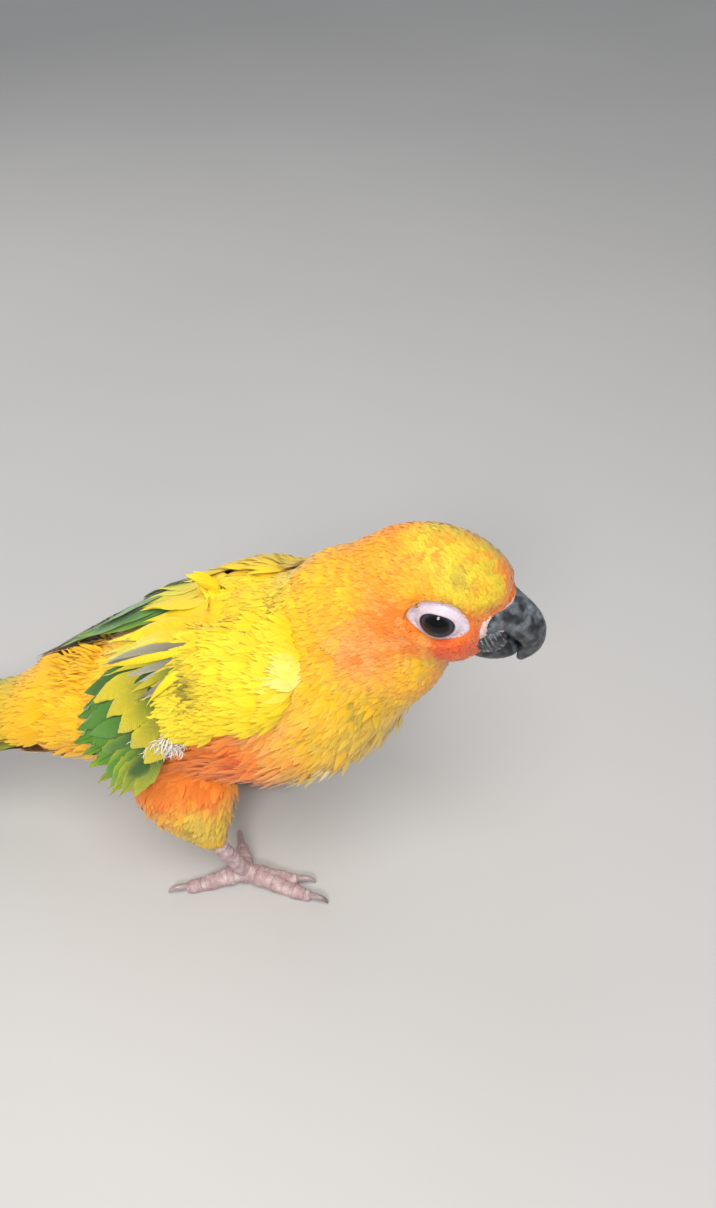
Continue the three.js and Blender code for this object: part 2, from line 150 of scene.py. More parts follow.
photo_height = 1208
focal_pixels = 940.2
sensor_width = 36
camera_place = row(67.6, -158.8, 258.5)
camera_azimuth, camera_elevation, camera_roll = (math.radians(a) for a in (11.3, 43.4, -2.4))
camera_data = bpy.data.cameras.new("photo_camera")
camera_data.sensor_width = sensor_width
camera_data.lens = focal_pixels * sensor_width / photo_height
camera_data.clip_start = 0.01
camera = bpy.data.objects.new("photo_camera", camera_data)
back = Vector((math.sin(camera_azimuth) * math.cos(camera_elevation),
               -math.cos(camera_azimuth) * math.cos(camera_elevation), math.sin(camera_elevation)))
right = (-back).cross(Vector((0, 0, 1))).normalized()
upward = right.cross(-back)
rolled_right = right * math.cos(camera_roll) + upward * math.sin(camera_roll)
rolled_up = upward * math.cos(camera_roll) - right * math.sin(camera_roll)
camera_turn = Matrix((rolled_right, rolled_up, back)).transposed().to_4x4()
camera.matrix_world = Matrix.Translation(camera_place) @ camera_turn
scene.collection.objects.link(camera)
scene.camera = camera

room_colour = (0.93, 0.96, 1.0, 1)
room_strength = 0.42
room = bpy.data.worlds.new("room")
room.use_nodes = True
room.node_tree.nodes["Background"].inputs["Color"].default_value = room_colour
room.node_tree.nodes["Background"].inputs["Strength"].default_value = room_strength
scene.world = room


def soft_light(name, at, size, watts, colour):
    """A round soft light at a place, turned towards the bird."""
    lamp = bpy.data.lights.new(name, "AREA")
    lamp.shape = "DISK"
    lamp.size = size
    lamp.energy = watts
    lamp.color = colour
    piece = bpy.data.objects.new(name, lamp)
    piece.location = at
    piece.rotation_euler = (at - bird_middle).to_track_quat("Z", "Y").to_euler()
    scene.collection.objects.link(piece)


bird_middle = row(10, 0, 80)
soft_light("key", row(95, -260, 670), 0.34, 3.0, (1.0, 0.98, 0.94))
soft_light("flank_fill", row(30, -480, 470), 0.15, 1.5, (1.0, 0.98, 0.96))
soft_light("rear_fill", row(-500, 300, 500), 0.7, 1.3, (1.0, 0.97, 0.95))

# Skin
# One closed skin under all the feathers, from the solids of head, neck, trunk and thighs, the tail's root
# and the front half of each folded wing. It is sunk under the solids by the coat's depth, and its face is
# drawn in toward the bill.

head_at = Vector((57.2, -4.5, 116.1))
head_turn = (Matrix.Rotation(math.radians(-6.1), 3, "Z") @ Matrix.Rotation(math.radians(7.5), 3, "Y")
             @ Matrix.Rotation(math.radians(-5.4), 3, "X"))


def on_head(x, y, z):
    """A place in the head's own frame, in millimetres from the middle of the eyes, in the bird's frame."""
    return head_turn @ Vector((x, y, z)) + head_at


def in_head(places):
    """Places in the head's own frame, for places in the bird's frame."""
    return (places - np.array(head_at)) @ np.array(head_turn)


def to_bird(points):
    """Places in the bird's frame, which is in millimetres, for places in the row frame."""
    return (np.asarray(points, float) - np.array(shift)) / mm


def smoothed(values, low, high):
    """0 up to low and 1 from high on, with a smooth step in between."""
    t = np.clip((values - low) / (high - low), 0, 1)
    return t * t * (3 - 2 * t)


def wrapped(form, around, rings, place):
    """Adds a ball to the form and moves each vertex to place(t, angle), t from 0 to 1 from pole to pole."""
    for v in bmesh.ops.create_uvsphere(form, u_segments=around, v_segments=rings, radius=1)["verts"]:
        t = math.acos(max(-1, min(1, v.co.z))) / math.pi
        v.co = place(t, math.atan2(v.co.y, v.co.x))


def copied(*names):
    """One mesh form from copies of CAD nodes, with the doubles of each merged."""
    form = bmesh.new()
    for name in names:
        form.from_mesh(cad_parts[name].data)
    bmesh.ops.remove_doubles(form, verts=form.verts, dist=1e-6)
    form.normal_update()
    return form


def vertices_of(mesh):
    """The places of a mesh's vertices, in metres."""
    places = np.empty(len(mesh.vertices) * 3, np.float32)
    mesh.vertices.foreach_get("co", places)
    return places.reshape(-1, 3).astype(float)


def normals_of(mesh):
    normals = np.empty(len(mesh.vertices) * 3, np.float32)
    mesh.vertex_normals.foreach_get("vector", normals)
    return normals.reshape(-1, 3)


def edges_of(mesh):
    """The two vertices of each edge of a mesh."""
    edges = np.empty(len(mesh.edges) * 2, np.int32)
    mesh.edges.foreach_get("vertices", edges)
    return edges.reshape(-1, 2)


def move_vertices(mesh, places):
    mesh.vertices.foreach_set("co", places.astype(np.float32).ravel())
    mesh.update()


def outermost(mesh):
    """Keeps the largest connected surface of a mesh, so that no sealed hollow stays inside it."""
    group = np.arange(len(mesh.vertices))
    a, b = edges_of(mesh).T
    while True:
        low = np.minimum(group[a], group[b])
        before = group.copy()
        np.minimum.at(group, a, low)
        np.minimum.at(group, b, low)
        group = group[group]
        if (group == before).all():
            break
    names, sizes = np.unique(group, return_counts=True)
    form = bmesh.new()
    form.from_mesh(mesh)
    keep = names[sizes.argmax()]
    bmesh.ops.delete(form, geom=[v for v, g in zip(form.verts, group) if g != keep], context="VERTS")
    form.to_mesh(mesh)
    form.free()
    return mesh


def remeshed(form, name, voxel):
    """The form as one even closed mesh."""
    piece = bpy.data.objects.new(name, mesh_from(form, name))
    scene.collection.objects.link(piece)
    fuse = piece.modifiers.new("fuse", "REMESH")
    fuse.mode = "VOXEL"
    fuse.voxel_size = voxel
    graph = bpy.context.evaluated_depsgraph_get()
    result = bpy.data.meshes.new_from_object(piece.evaluated_get(graph))
    bpy.data.objects.remove(piece)
    result.name = name
    return outermost(result)


def softened(mesh, rounds, sink):
    """Evens a mesh out by averaging, then sinks each vertex by sink(places in mm), in millimetres."""
    places = vertices_of(mesh)
    count = len(places)
    a, b = edges_of(mesh).T
    ways = np.bincount(a, minlength=count) + np.bincount(b, minlength=count)
    for _ in range(rounds):
        total = np.stack([np.bincount(a, places[b, k], count) + np.bincount(b, places[a, k], count)
                          for k in range(3)], 1)
        places = places * 0.4 + 0.6 * total / ways[:, None]
    move_vertices(mesh, places)
    places -= normals_of(mesh) * sink(to_bird(places))[:, None] * mm
    move_vertices(mesh, places)
    mesh.shade_smooth()
    return mesh


# how far copies of solids are swelled, so that neighbours run into each other
swell = 0.4
overlap = swell * mm


def swelled(form):
    for v in form.verts:
        v.co += v.normal * overlap
    return form


skin_form = swelled(copied("head", "neck", "torso", "rump", "thigh_left", "thigh_right", "cere",
                           "bill_lower"))

tail_root_half = (31, 11.5, 6)
tail_root_turn = Matrix.Rotation(math.radians(-20), 3, "Y")
tail_root_centre = Vector((-67, 0, 49))


def tail_root(t, angle):
    ball = Vector((math.cos(math.pi * t), math.sin(math.pi * t) * math.cos(angle),
                   math.sin(math.pi * t) * math.sin(angle)))
    place = tail_root_turn @ Vector(a * b for a, b in zip(ball, tail_root_half))
    return row(*(place + tail_root_centre))


wrapped(skin_form, 24, 16, tail_root)

# the flesh behind each eye and its ring: half its length, thickness and height, and its place off the middle
bed_half = (6.3, 2.7, 5.3)
bed_side = 8.8
for side in (-1, 1):
    def eye_bed(t, angle):
        wide = math.sin(math.pi * t)
        return row(*on_head(bed_half[0] * wide * math.cos(angle),
                            side * (bed_side + bed_half[1] * math.cos(math.pi * t)),
                            bed_half[2] * wide * math.sin(angle)))

    wrapped(skin_form, 20, 12, eye_bed)

# each wing's front half, whose rear end is tucked in under the feathers of the back
wing_tuck = 5
wing_cut = -7
wing_roots = swelled(copied("wing_left", "wing_right"))
for v in wing_roots.verts:
    place = to_bird(v.co)
    inward = wing_tuck * smoothed(6 - place[0], 0, 13)
    v.co.y -= math.copysign(inward, place[1]) * mm
whole = wing_roots.verts[:] + wing_roots.edges[:] + wing_roots.faces[:]
bmesh.ops.bisect_plane(wing_roots, geom=whole, plane_co=row(wing_cut, 0, 90), plane_no=(-1, 0, 0),
                       clear_outer=True)
bmesh.ops.holes_fill(wing_roots, edges=[e for e in wing_roots.edges if e.is_boundary], sides=0)
wing_root_mesh = mesh_from(wing_roots, "wing_roots")
skin_form.from_mesh(wing_root_mesh)
bpy.data.meshes.remove(wing_root_mesh)

bill_root = np.array(on_head(13, 0, -4))
face_coat = 0.4
body_coat_more = 0.45


def coat_depth(places):
    """How far the skin lies in from the swelled solids: least round the bill."""
    off_bill = smoothed(np.linalg.norm(places - bill_root, axis=1), 8, 40)
    return swell + face_coat + body_coat_more * off_bill


skin_mesh = softened(remeshed(skin_form, "skin", 0.9 * mm), 6, coat_depth)
face_narrowing = 0.2
for v in skin_mesh.vertices:
    h = in_head(to_bird(v.co))
    if h[0] > 6 and abs(h[1]) > 2:
        low_front = smoothed(h[0], 6, 11.5) * (1 - smoothed(h[2], 3, 7))
        narrowed = face_narrowing * low_front * smoothed(abs(h[1]), 2, 5)
        v.co = row(*on_head(h[0], h[1] * (1 - narrowed), h[2]))
skin_mesh.uv_layers.new(name="OFBake")


def multiplied(made, a, b):
    """A colour darkened or brightened by another; a Mix node has them at its sockets 6 and 7."""
    node = add_node(made, "Mix", data_type="RGBA", blend_type="MULTIPLY")
    node.inputs[0].default_value = 1.0
    feed(made, a, node.inputs[6])
    feed(made, b, node.inputs[7])
    return node.outputs[2]


def tinted(made, shader, *shades):
    """Gives the shader the colours that the mesh holds, multiplied by each of the shades."""
    colour = add_node(made, "Attribute", attribute_name="tint").outputs["Color"]
    for shade in shades:
        colour = multiplied(made, colour, shade)
    feed(made, colour, shader.inputs["Base Color"])


def bumped(made, shader, height, strength, distance):
    bump = add_node(made, "Bump", Height=height, Strength=strength, Distance=distance)
    feed(made, bump.outputs["Normal"], shader.inputs["Normal"])


def grained_finish(name, grain, tones, relief, **sockets):
    """A finish in the colours that the mesh holds, toned and roughened by one fine grain.

    grain is its scale, detail and roughness, tones are the stops of its ramp, and relief is the strength and
    distance of its bump."""
    made, shader = new_finish(name, **sockets)
    fine = grain_of(made, *grain)
    tinted(made, shader, ramp(made, fine, *tones))
    bumped(made, shader, fine, *relief)
    return made


# The skin's colours are darkened and made uneven by a fine grain: painted shade of the under-layer beneath
# the feathers.
skin_finish = grained_finish("feathered_skin", (900.0, 3.0),
                             ((0.3, (0.7, 0.68, 0.66)), (0.7, (0.95, 0.94, 0.93))), (0.8, 0.0008),
                             Roughness=0.8)
skin = made_object("skin", skin_mesh, skin_finish, "breast_feathers",
                   ("head", "neck", "torso", "rump", "thigh_left", "thigh_right"))

bpy.context.view_layer.objects.active = skin
skin.select_set(True)
bpy.ops.object.mode_set(mode="EDIT")
bpy.ops.mesh.select_all(action="SELECT")
bpy.ops.uv.smart_project(angle_limit=math.radians(72), island_margin=0.002)
bpy.ops.object.mode_set(mode="OBJECT")
skin.select_set(False)

skin_form = bmesh.new()
skin_form.from_mesh(skin_mesh)
bmesh.ops.triangulate(skin_form, faces=skin_form.faces)
skin_form.faces.ensure_lookup_table()
skin_tree = BVHTree.FromBMesh(skin_form)
bake = skin_form.loops.layers.uv["OFBake"]
face_bake = np.array([np.mean([loop[bake].uv for loop in f.loops], axis=0) for f in skin_form.faces])
face_corners = np.array([[v.co for v in f.verts] for f in skin_form.faces])
skin_form.free()

# Colours of the coat
# The bird's markings, as places on its body with the colour there and the colour of stray flecks.
# Skin and feathers take theirs from the same places, so nothing else shows between the feathers.


def linear(red, green, blue):
    """A colour given as it looks on a screen, 0 to 255, as the shader needs it."""
    values = [c / 255 for c in (red, green, blue)]
    return tuple(c / 12.92 if c < 0.04045 else ((c + 0.055) / 1.055) ** 2.4 for c in values)


golden = linear(246, 190, 22)
amber = linear(252, 168, 24)
lemon = linear(244, 212, 24)
butter = linear(226, 200, 42)
saffron = linear(252, 192, 8)
straw = linear(230, 190, 66)
moor = linear(196, 168, 50)
peach = linear(250, 166, 84)
orange = linear(250, 134, 38)
coral = linear(240, 88, 34)
olive = linear(150, 140, 44)
bronze = linear(92, 88, 26)
pale = linear(246, 232, 170)

# place, colour, flecks, feather length, feather width; lengths in millimetres
head_markings = [
    ((15, 0, 7), orange, coral, 2.2, 1.6),
    ((13, 6, 4), orange, coral, 2.2, 1.6),
    ((10, 10, -1), orange, coral, 2.0, 1.5),
    ((10, 9, -6), coral, coral, 2.0, 1.5),
    ((3, 12, -9), coral, orange, 2.5, 1.8),
    ((9, 7, 9), butter, amber, 2.8, 2.0),
    ((1, 8, 11), butter, moor, 3.4, 2.5),
    ((3, 0, 15), butter, amber, 3.8, 2.8),
    ((-6, 5, 15), butter, orange, 4.2, 3.1),
    ((-7, 11, 6), amber, golden, 3.8, 2.8),
    ((-9, 12, 0), orange, peach, 3.6, 2.7),
    ((-5, 13, -7), orange, peach, 3.2, 2.4),
    ((-12, 11, -8), orange, peach, 4.4, 3.3),
    ((-14, 8, 8), amber, orange, 4.8, 3.6),
    ((-16, 0, 10), amber, orange, 5.4, 4.0),
    ((5, 4, -15), orange, golden, 3.4, 2.5),
    ((-4, 8, -16), golden, straw, 4.8, 3.6),
]
body_markings = [
    ((37, 19, 106), peach, orange, 6.2, 4.6),
    ((32, 12, 118), amber, golden, 6.6, 5.0),
    ((24, 8, 115), golden, amber, 7.4, 5.6),
    ((25, 17, 105), golden, amber, 7.6, 5.8),
    ((30, 21, 94), golden, straw, 8.4, 6.4),
    ((50, 4, 96), golden, moor, 7.0, 5.2),
    ((41, 19, 86), golden, moor, 8.6, 6.6),
    ((48, 0, 80), straw, golden, 9.4, 7.2),
    ((39, 19, 75), straw, moor, 10.0, 7.8),
    ((36, 0, 62), straw, pale, 11.0, 8.4),
    ((26, 26, 81), golden, straw, 10.4, 8.0),
    ((24, 20, 58), straw, pale, 11.0, 8.4),
    ((16, 27, 84), peach, golden, 10.2, 7.6),
    ((5, 26, 73), orange, coral, 11.0, 8.0),
    ((-14, 24, 64), orange, coral, 11.5, 8.2),
    ((8, 22, 56), orange, peach, 11.5, 8.4),
    ((4, 8, 46), straw, peach, 11.5, 8.4),
    ((-24, 20, 58), orange, amber, 11.5, 8.0),
    ((14, 4, 107), lemon, golden, 9.0, 7.0),
    ((4, 6, 103), lemon, golden, 10.0, 7.8),
    ((-14, 6, 94), lemon, golden, 11.0, 8.4),
    ((-30, 5, 81), golden, lemon, 12.0, 8.6),
    ((-42, 6, 72), saffron, golden, 12.5, 8.4),
    ((-50, 12, 62), saffron, golden, 13.0, 8.2),
    ((-46, 13, 52), saffron, golden, 12.5, 8.2),
    ((-38, 0, 44), golden, straw, 12.5, 8.4),
    ((-66, 8, 54), saffron, lemon, 14.0, 8.2),
    ((-84, 0, 40), golden, lemon, 15.0, 8.0),
    ((-8, 23, 54), orange, coral, 8.5, 5.6),
    ((-4, 22, 47), orange, coral, 8.0, 5.2),
    ((-15, 22, 45), orange, coral, 8.0, 5.2),
    ((-9, 23, 38), straw, amber, 6.6, 4.2),
    ((-7, 22, 31), straw, olive, 5.4, 3.2),
    ((-5, 19, 20), golden, olive, 3.4, 2.0),
]
# dark centres of single old feathers on the right of the mantle: place, reach
old_feathers = [((6.0, -8.2, 103.1), 3.0), ((13.7, -4.8, 106.8), 2.6), ((3.0, -11.0, 102.0), 2.4)]
midline = 2.5


def both_sides(markings):
    """The markings with each one off the midline repeated on the other side."""
    return [((x, y * side, z), *rest) for (x, y, z), *rest in markings
            for side in ((1, -1) if y > midline else (1,))]


all_markings = [(tuple(on_head(*place)), *rest) for place, *rest in both_sides(head_markings)]
all_markings += both_sides(body_markings)
mark_places, mark_colours, mark_flecks = (np.array([m[k] for m in all_markings]) for k in range(3))
mark_sizes = np.array([m[3:] for m in all_markings])


def weights(places, reach):
    """How much each marking counts at each place: the nearest most, fading over a share of its distance."""
    far = np.linalg.norm(places[:, None] - mark_places[None], axis=2)
    share = np.exp(-(far / (reach * np.maximum(far.min(1, keepdims=True), 3.0))) ** 2)
    return share / share.sum(1, keepdims=True)


def speckle(places, scale, seed):
    """Soft random patches over the body, 0 to 1."""
    return np.array([noise.noise(Vector(p) / scale + Vector((seed, 0, 0))) * 0.5 + 0.5 for p in places])


def between(a, b, share):
    """Colours or places between two others: a at a share of 0, b at 1."""
    return np.asarray(a) * (1 - share) + np.asarray(b) * share


def coat_colour(places):
    share = weights(places, 1.1)
    patches = 0.85 * smoothed(speckle(places, 3.2, 3.0), 0.48, 0.74)[:, None]
    colour = between(share @ mark_colours, share @ mark_flecks, patches)
    for place, reach in old_feathers:
        dark = 0.95 * np.exp(-(np.linalg.norm(places - np.array(place), axis=1) / reach) ** 2)[:, None]
        colour = between(colour, bronze, dark)
    return colour


# where the face's feathers end at the bill: height and distance ahead, in the head's frame
face_line = ((-8.2, 14), (-7.4, 11.5), (-4.1, 9.8), (-1.3, 10.2), (1.0, 10.9), (2.6, 12), (4.2, 13.4),
             (5.0, 15))


def on_bare_face(places):
    """Whether a place lies ahead of the slanting line where the face's feathers end at the bill."""
    h = in_head(places)
    heights, reaches = zip(*face_line)
    return h[:, 0] > np.interp(h[:, 2], heights, reaches, left=99, right=99)


def places_of(mesh):
    """The places of a mesh's vertices, in millimetres in the bird's frame."""
    return to_bird(vertices_of(mesh))


def colour_attribute(mesh, colours):
    tint = mesh.attributes.new("tint", "FLOAT_COLOR", "POINT")
    rgba = np.ones((len(colours), 4), np.float32)
    rgba[:, :3] = colours
    tint.data.foreach_set("color", rgba.ravel())


rose = linear(224, 204, 200)
skin_places = places_of(skin_mesh)
bare_face = on_bare_face(skin_places)[:, None]
colour_attribute(skin_mesh, np.where(bare_face, rose, coat_colour(skin_places)))

# Body feathers
# Small feathers on head, neck, trunk, rump and thighs. Each is a fan of soft locks of barbs, and each lock a
# thin closed blade. They grow from the skin, lie back along the body and overlap like tiles.

draw = np.random.default_rng(11)
# how much of the bake's map each vane takes, at the place of its root
bake_patch = 0.003


def to_row(points):
    """Places in the row frame, for places in the bird's frame."""
    return np.asarray(points, float) * mm + np.array(shift)


def unit(vectors):
    return vectors / np.maximum(np.linalg.norm(vectors, axis=-1, keepdims=True), 1e-9)


def curve(points, t):
    """Places on a smooth curve through the given points, for t from 0 to 1."""
    points = np.array([tuple(p) for p in points], float)
    k = np.minimum((np.asarray(t) * (len(points) - 1)).astype(int), len(points) - 2)
    f = (np.asarray(t) * (len(points) - 1) - k)[..., None]
    padded = np.vstack([2 * points[0] - points[1], points, 2 * points[-1] - points[-2]])
    a, b, c, d = (padded[k + i] for i in range(4))
    return 0.5 * (2 * b + (c - a) * f + (2 * a - 5 * b + 4 * c - d) * f ** 2
                  + (3 * b - a - 3 * c + d) * f ** 3)


class Template:
    """A flat vane as a closed thin lens: a grid for the upper face, another for the lower, one edge."""

    def __init__(self, across, along):
        form = bmesh.new()
        bmesh.ops.create_grid(form, x_segments=across, y_segments=along, size=1)
        lower = bmesh.ops.duplicate(form, geom=form.verts[:] + form.edges[:] + form.faces[:])
        faces = [g for g in lower["geom"] if isinstance(g, bmesh.types.BMFace)]
        bmesh.ops.reverse_faces(form, faces=faces)
        under = {g for g in lower["geom"] if isinstance(g, bmesh.types.BMVert)}
        for v in form.verts:
            v.co.z = 0 if v.is_boundary else (-1 if v in under else 1)
        bmesh.ops.remove_doubles(form, verts=form.verts, dist=1e-4)
        form.verts.index_update()
        places = np.array([v.co for v in form.verts])
        self.u = places[:, 0]
        self.v = (places[:, 1] + 1) / 2
        self.side = places[:, 2]
        self.faces = np.array([[v.index for v in f.verts] for f in form.faces])
        self.column = np.rint((self.u + 1) / 2 * across).astype(int)
        self.row = np.rint(self.v * along).astype(int)
        self.across = across
        grid = np.round(np.stack([self.u, self.v], 1), 4)
        _, self.first, self.twin = np.unique(grid, axis=0, return_index=True, return_inverse=True)
        self.twin = self.twin.ravel()
        form.free()


def nearest(places, over=skin_tree):
    """The nearest place on a surface, its normal and its face, for places in millimetres."""
    found = [over.find_nearest(Vector(p)) for p in to_row(places)]
    at = to_bird(np.array([f[0] for f in found]))
    return at, np.array([f[1] for f in found]), np.array([f[2] for f in found])


def feathers(name, template, root, middle, tip, up, width, *, lift, tints, finish, slot, replaced=(),
             hug=1.0, outline=(0.35, 0.55, 2.2, 0.62), fray=0.12, thick=0.16, camber=0.12,
             rounding=0.25, roll=0.0, free=False, fringe=0.3, underside=None, splits=0, over=skin_tree,
             stiff=False):
    """Joined vanes. Each follows the curve root, middle, tip, in millimetres, with up as its upper side.

    lift is the height of its root and tip above the surface over, and hug how closely it follows that form.
    A free vane follows its curve alone. A stiff one moves as a whole across its width, so that it doesn't
    crease over an edge. outline says where it is widest, how its width grows and falls, and by how much.
    camber is the height of its middle, and roll lifts its right edge, in degrees. fray, rounding and splits
    shape its tip and its edges. tints are its colours at the root, at the tip and along the edge, which
    fringe makes strong or faint, and underside is the colour below."""
    number = len(root)
    u, v, side = template.u[None], template.v[None], template.side[None]
    frays = draw.uniform(0, 1, (number, template.across + 1))[:, template.column]
    ragged = draw.uniform(-1, 1, (number, len(template.v)))
    t = np.broadcast_to(v, frays.shape) * (1 - fray * frays * v ** 2)
    t = t - rounding * u ** 2 * v ** 3 * 0.5
    a, b, c = (np.asarray(p, float)[:, None, :] for p in (root, middle, tip))
    k = t[..., None]
    places = (1 - k) ** 2 * a + 2 * k * (1 - k) * b + k ** 2 * c
    ahead = unit(2 * (1 - k) * (b - a) + 2 * k * (c - b))
    across = unit(np.cross(ahead, np.asarray(up, float)[:, None, :]))
    above = np.cross(across, ahead)
    widest, grow, fall, point = outline
    early = np.clip(v / widest, 0, 1) ** grow
    late = 1 - np.clip((v - widest) / (1 - widest), 0, 1) ** fall * point
    reach = np.asarray(width, float)[:, None] / 2 * early * late * (1 + 0.06 * ragged * np.abs(u))
    for _ in range(splits):
        at = draw.uniform(0.3, 0.97, (number, 1))
        deep = draw.uniform(0.05, 0.3, (number, 1))
        on_edge = np.sign(draw.uniform(-1, 1, (number, 1))) == np.sign(u)
        reach = reach * (1 - deep * on_edge * np.abs(u) ** 3 * np.exp(-((v - at) / 0.02) ** 2))
    places = places + across * (u * reach)[..., None]
    span = np.linalg.norm(np.asarray(tip, float) - np.asarray(root, float), axis=1)[:, None]
    low, high = (np.broadcast_to(np.asarray(x, float).reshape(-1, 1), (number, 1)) for x in lift)
    rise = low + (high - low) * t ** 1.3
    bent = camber * (1 - u ** 2) * np.minimum(1, reach) + u * reach * math.tan(math.radians(roll))
    if free:
        places = places + above * (rise + bent)[..., None]
    else:
        at, normal, _ = nearest(places[:, template.first].reshape(-1, 3), over)
        at, normal = (x.reshape(number, -1, 3)[:, template.twin] for x in (at, normal))
        height = ((places - at) * normal).sum(-1)
        if stiff:
            gap = rise - height
            gap = np.clip(gap * hug if hug > 0 else np.maximum(0, gap), -1.5, 2.5)
            rows = np.stack([gap[:, template.row == r].mean(1) for r in range(template.row.max() + 1)], 1)
            for _ in range(4):
                padded = np.concatenate([rows[:, :1], rows, rows[:, -1:]], 1)
                rows = padded[:, :-2] * 0.25 + padded[:, 1:-1] * 0.5 + padded[:, 2:] * 0.25
            places = places + above * (bent + rows[:, template.row])[..., None]
        elif hug > 0:
            places = places + normal * (rise + bent - height * hug)[..., None]
        else:
            places = places + above * bent[..., None]
            places = places + normal * np.maximum(0, rise - height)[..., None]
    places = places + above * (side * thick / 2 * (1 - 0.5 * t))[..., None]

    vertices = len(template.v)
    mesh = bpy.data.meshes.new(name)
    faces = (template.faces[None] + (np.arange(number) * vertices)[:, None, None]).reshape(-1, 4)
    mesh.vertices.add(number * vertices)
    mesh.vertices.foreach_set("co", to_row(places.reshape(-1, 3)).astype(np.float32).ravel())
    mesh.loops.add(len(faces) * 4)
    mesh.loops.foreach_set("vertex_index", faces.astype(np.int32).ravel())
    mesh.polygons.add(len(faces))
    mesh.polygons.foreach_set("loop_start", np.arange(0, len(faces) * 4, 4, dtype=np.int32))
    mesh.update(calc_edges=True)
    rims = (template.side[edges_of(mesh) % vertices] == 0).all(1)
    mesh.attributes.new("sharp_edge", "BOOLEAN", "EDGE").data.foreach_set("value", rims)

    base, end, edge = (np.asarray(x, float)[:, None, :] for x in tints)
    rim = fringe * (smoothed(np.abs(u), 0.45, 1.0) * smoothed(t, 0.2, 0.8) + smoothed(t, 0.75, 1.0))
    colour = between(base, end, smoothed(t, 0.1, 0.85)[..., None])
    colour = between(colour, edge, np.clip(rim, 0, 1)[..., None])
    if underside is not None:
        below = (side < 0).astype(float)[..., None]
        colour = between(colour, between(colour, underside, 0.7), below)
    colour_attribute(mesh, np.clip(colour, 0, 1).reshape(-1, 3))
    loops = faces.ravel()
    start = draw.uniform(0, 100, (number, 1))
    vane = np.stack([u * reach, t * span + start], -1).reshape(-1, 2)[loops]
    mesh.uv_layers.new(name="vane").data.foreach_set("uv", vane.astype(np.float32).ravel())
    _, _, face = nearest(np.asarray(root, float))
    flat = np.stack(np.broadcast_arrays((u + 1) / 2, v), -1) * bake_patch
    spread = (face_bake[face][:, None] + flat - bake_patch / 2).reshape(-1, 2)[loops]
    mesh.uv_layers.new(name="OFBake").data.foreach_set("uv", spread.astype(np.float32).ravel())
    return made_object(name, mesh, finish, slot, replaced)


def math_node(made, operation, *values):
    node = add_node(made, "Math", operation=operation)
    for socket, value in zip(node.inputs, values):
        feed(made, value, socket)
    return node.outputs[0]


def feather_finish(name, roughness, barb, depth, darkest):
    """Feather colour from the mesh, streaked and grooved along barbs that slant off the shaft."""
    made, shader = new_finish(name, Roughness=roughness, Sheen_Weight=0.3, Sheen_Roughness=0.4,
                              Specular_IOR_Level=0.25)
    vane = add_node(made, "UVMap", uv_map="vane").outputs["UV"]
    parts = add_node(made, "SeparateXYZ", Vector=vane).outputs
    off_shaft = math_node(made, "MULTIPLY", math_node(made, "ABSOLUTE", parts["X"]), 1.1)
    slant = math_node(made, "SUBTRACT", parts["Y"], off_shaft)
    cross = math_node(made, "MULTIPLY", slant, barb)
    length = math_node(made, "MULTIPLY", parts["X"], 0.35)
    barbs = add_node(made, "CombineXYZ", X=cross, Y=length).outputs["Vector"]
    streak = add_node(made, "TexNoise", Vector=barbs, Scale=1.0, Detail=4.0, Roughness=0.65).outputs["Fac"]
    groove = (darkest, darkest * 0.98, darkest * 0.96)
    tinted(made, shader, ramp(made, streak, (0.3, groove), (0.6, (1, 1, 1))))
    bumped(made, shader, streak, depth, 0.0004)
    return made


coat_finish = feather_finish("body_feather", 0.65, 3.0, 0.3, 0.88)

spine = [(-95.7, 0, 38.6), (-68, 0, 48.7), (-44, 0, 57.5), (-14, 0, 66.5), (14, 0, 78), (36, -2, 96),
         (50, -3.6, 111.5), (61, -4.8, 115.5), tuple(on_head(16.1, 0, 0.9))]
spine_blend = 160
spine_places = curve(spine, np.linspace(0, 1, 60))
spine_ahead = unit(np.gradient(spine_places, axis=0))


def off_surface(ways, normals):
    """The ways turned so that each runs along the surface with its normal."""
    return unit(ways - normals * (ways * normals).sum(1, keepdims=True))


def lie(places, normals, thigh):
    """The way the feathers lie: away from the bill over the head, then back along the body, down a thigh."""
    far = np.linalg.norm(places[:, None] - spine_places[None], axis=2)
    share = np.exp(-(far ** 2 - (far ** 2).min(1, keepdims=True)) / spine_blend)
    back = -(share @ spine_ahead) / share.sum(1, keepdims=True)
    off_bill = places - bill_root
    head = 1 - smoothed(np.linalg.norm(off_bill, axis=1), 16, 40)[:, None]
    way = unit(back) * (1 - head) + unit(off_bill) * head
    down = np.full((len(places), 3), (-0.25, 0, -1.0))
    down[:, 1] = 0.12 * np.sign(places[:, 1])
    way = unit(way * (1 - thigh[:, None]) + unit(down) * thigh[:, None])
    return off_surface(way, normals)


# places scattered over the skin, as many on each face as its area asks
edges_1, edges_2 = face_corners[:, 1] - face_corners[:, 0], face_corners[:, 2] - face_corners[:, 0]
face_normals = np.cross(edges_1, edges_2)
face_areas = np.linalg.norm(face_normals, axis=1) / 2
candidates = 110000
picked = draw.choice(len(face_areas), candidates, p=face_areas / face_areas.sum())
r1, r2 = draw.uniform(0, 1, (2, candidates, 1))
flip = r1 + r2 > 1
r1, r2 = np.where(flip, 1 - r1, r1), np.where(flip, 1 - r2, r2)
seeds = to_bird(face_corners[picked, 0] + r1 * edges_1[picked] + r2 * edges_2[picked])
seed_normals = unit(face_normals[picked])

# how far an eye's bare ring reaches ahead, back, up and down, and how square it is between them
ring_reaches = (7.2, 6.9, 5.3, 4.8)
almond = 1.75


